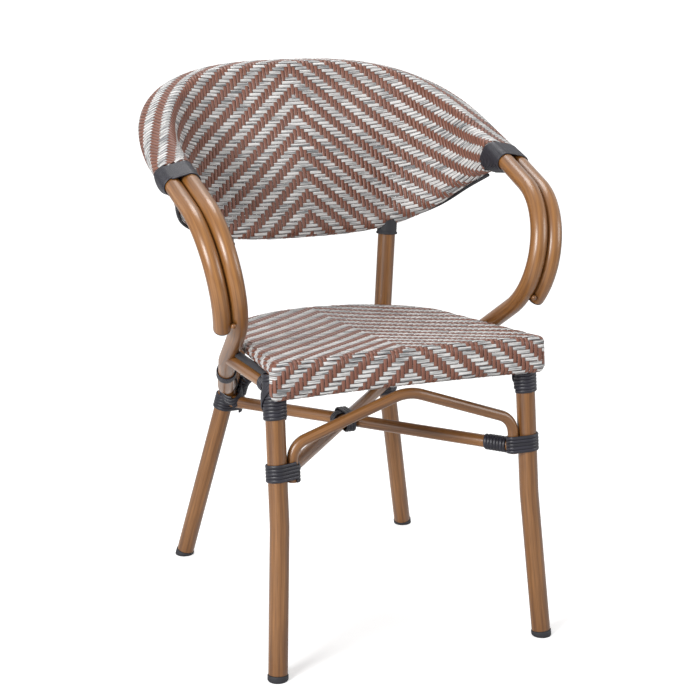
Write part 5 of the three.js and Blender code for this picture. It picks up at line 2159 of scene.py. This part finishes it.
    def _cross(self) -> None:
        """Two windings over the place where the stretchers cross."""
        lines, slim = self.lines, self.lines.stock.slim / 2
        ends = [lines.stretcher_ends(side) for side in Side]
        first, second = (unit(end - start) for start, end in ends)
        half = math.acos(float(first @ second)) / 2
        for name, turn, way, lift in (
            ("cross_lashing_lower", half, first + second, 0.0),
            ("cross_lashing_upper", math.pi / 2 - half, first - second, self.cross_lift),
        ):
            way = unit(way)
            reach = (slim + self.cross_spread * math.sin(turn)) / math.cos(turn) - slim
            circles = (Circle(-reach, slim + lift), Circle(reach, slim + lift))
            place = Place(lines.crossing() - way * self.cross_spread, way, np.cross(way, UP))
            winding = Winding(circles, self.cross_turns, self.pitch, self.sleeve)
            self._wind(f"{name}_cord", winding, place, name)


@dataclass
class Kept:
    """Nodes of the frame that stay as they are: joints' spigots and the seat's frame, in bare metal."""

    def build(self) -> None:
        """Gives each shown node its finish."""
        for name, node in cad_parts.items():
            if not node.hide_render:
                node.data.materials.clear()
                node.data.materials.append(ALLOY.material())
                LOG.info("%s: kept, in bare metal", name)


@dataclass(frozen=True)
class Lamp:
    """One soft round lamp."""

    name: str
    place: tuple[float, float, float]
    power: float
    size: float = 1.6


@dataclass(frozen=True)
class Studio:
    """Floor, soft light and the camera."""

    azimuth: float = math.radians(-21.45)
    elevation: float = math.radians(15.25)
    distance: float = 2.654
    sensor: float = 36
    focal: float = 1736 / 700 * 36
    target: tuple[float, float, float] = (0.0, -0.02658, 0.3987)
    lit: tuple[float, float, float] = (0.0, 0.0, 0.45)
    lamps: tuple[Lamp, ...] = (
        Lamp("key", (-2.9, -1.8, 1.8), 128),
        Lamp("fill", (2.8, -1.8, 1.5), 36),
        Lamp("top", (0.2, 1.0, 3.3), 48),
    )
    ambient: float = 0.26
    floor_half: float = 40.0
    floor_shade: float = 0.86
    glow: float = 0.5
    far_glow: float = 0.5
    far: tuple[float, float] = (1.5, 5.0)

    def build(self) -> None:
        """Sets them up."""
        self._camera()
        self._world()
        self._floor()
        for lamp in self.lamps:
            self._light(lamp)
        bpy.context.scene.view_settings.view_transform = "Standard"

    def _camera(self) -> None:
        """The photograph's view."""
        lens = bpy.data.cameras.new("camera")
        lens.lens = self.focal
        lens.sensor_width = self.sensor
        camera = linked("camera", lens)
        a, e = self.azimuth, self.elevation
        back = at(math.sin(a) * math.cos(e), -math.cos(a) * math.cos(e), math.sin(e))
        right = unit(np.cross(UP, back))
        matrix = np.eye(4)
        place = np.array(self.target) + back * self.distance
        matrix[:3] = np.stack([right, np.cross(back, right), back, place], axis=1)
        camera.matrix_world = Matrix(matrix.tolist())
        bpy.context.scene.camera = camera

    @staticmethod
    def _seen(graph: Graph, *rays: str) -> Wire:
        """One for rays of the kinds named, else nought."""
        path = graph.node("ShaderNodeLightPath")
        return sum(Wire(graph, path.outputs[f"Is {ray} Ray"]) for ray in rays)

    def _world(self) -> None:
        """A plain white surround that lights softly."""
        world = bpy.data.worlds.new("surround")
        bpy.context.scene.world = world
        graph = fresh_graph(world)
        strength = self._seen(graph, "Camera", "Glossy") * (1 - self.ambient) + self.ambient
        shader = graph.wire("ShaderNodeBackground", None, {"Color": (1, 1, 1, 1), "Strength": strength})
        graph.node("ShaderNodeOutputWorld", None, {"Surface": shader})

    def _floor(self) -> None:
        """A white floor that keeps the chair's shadow."""
        half, shade = self.floor_half, self.floor_shade
        mesh = bpy.data.meshes.new("floor")
        corners = [(-half, -half, 0), (half, -half, 0), (half, half, 0), (-half, half, 0)]
        mesh.from_pydata(corners, [], [(0, 1, 2, 3)])
        floor = linked("floor", mesh)
        made = bpy.data.materials.new("floor")
        graph = fresh_graph(made)
        away = graph.wire("ShaderNodeVectorMath", {"operation": "LENGTH"}, {0: graph.place()}, "Value")
        glow = (away.between(*self.far) * self.far_glow + self.glow) * self._seen(graph, "Camera")
        diffuse = graph.wire("ShaderNodeBsdfDiffuse", None, {"Color": (shade, shade, shade, 1)})
        light = graph.wire("ShaderNodeEmission", None, {"Color": (1, 1, 1, 1), "Strength": glow})
        both = graph.wire("ShaderNodeAddShader", None, {0: diffuse, 1: light})
        graph.node("ShaderNodeOutputMaterial", None, {"Surface": both})
        mesh.materials.append(made)

    def _light(self, lamp: Lamp) -> None:
        """One lamp that faces the chair."""
        light = bpy.data.lights.new(lamp.name, "AREA")
        light.shape = "DISK"
        light.size = lamp.size
        light.energy = lamp.power
        made = linked(lamp.name, light)
        made.location = lamp.place
        made.rotation_mode = "QUATERNION"
        aim = np.array(self.lit) - np.array(lamp.place)
        made.rotation_quaternion = Vector(aim).to_track_quat("-Z", "Y")


def main() -> None:
    """Builds the chair's looks round its frame."""
    logging.basicConfig(level=logging.INFO, format="%(name)s: %(message)s")
    Studio().build()
    lines = ChairLines()
    shop = Workshop()
    for assembly in (Legs, BackFrame, Arms, Underframe, Bindings, Weave):
        assembly(shop, lines).build()
    Kept().build()
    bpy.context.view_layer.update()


if __name__ == "__main__":
    main()
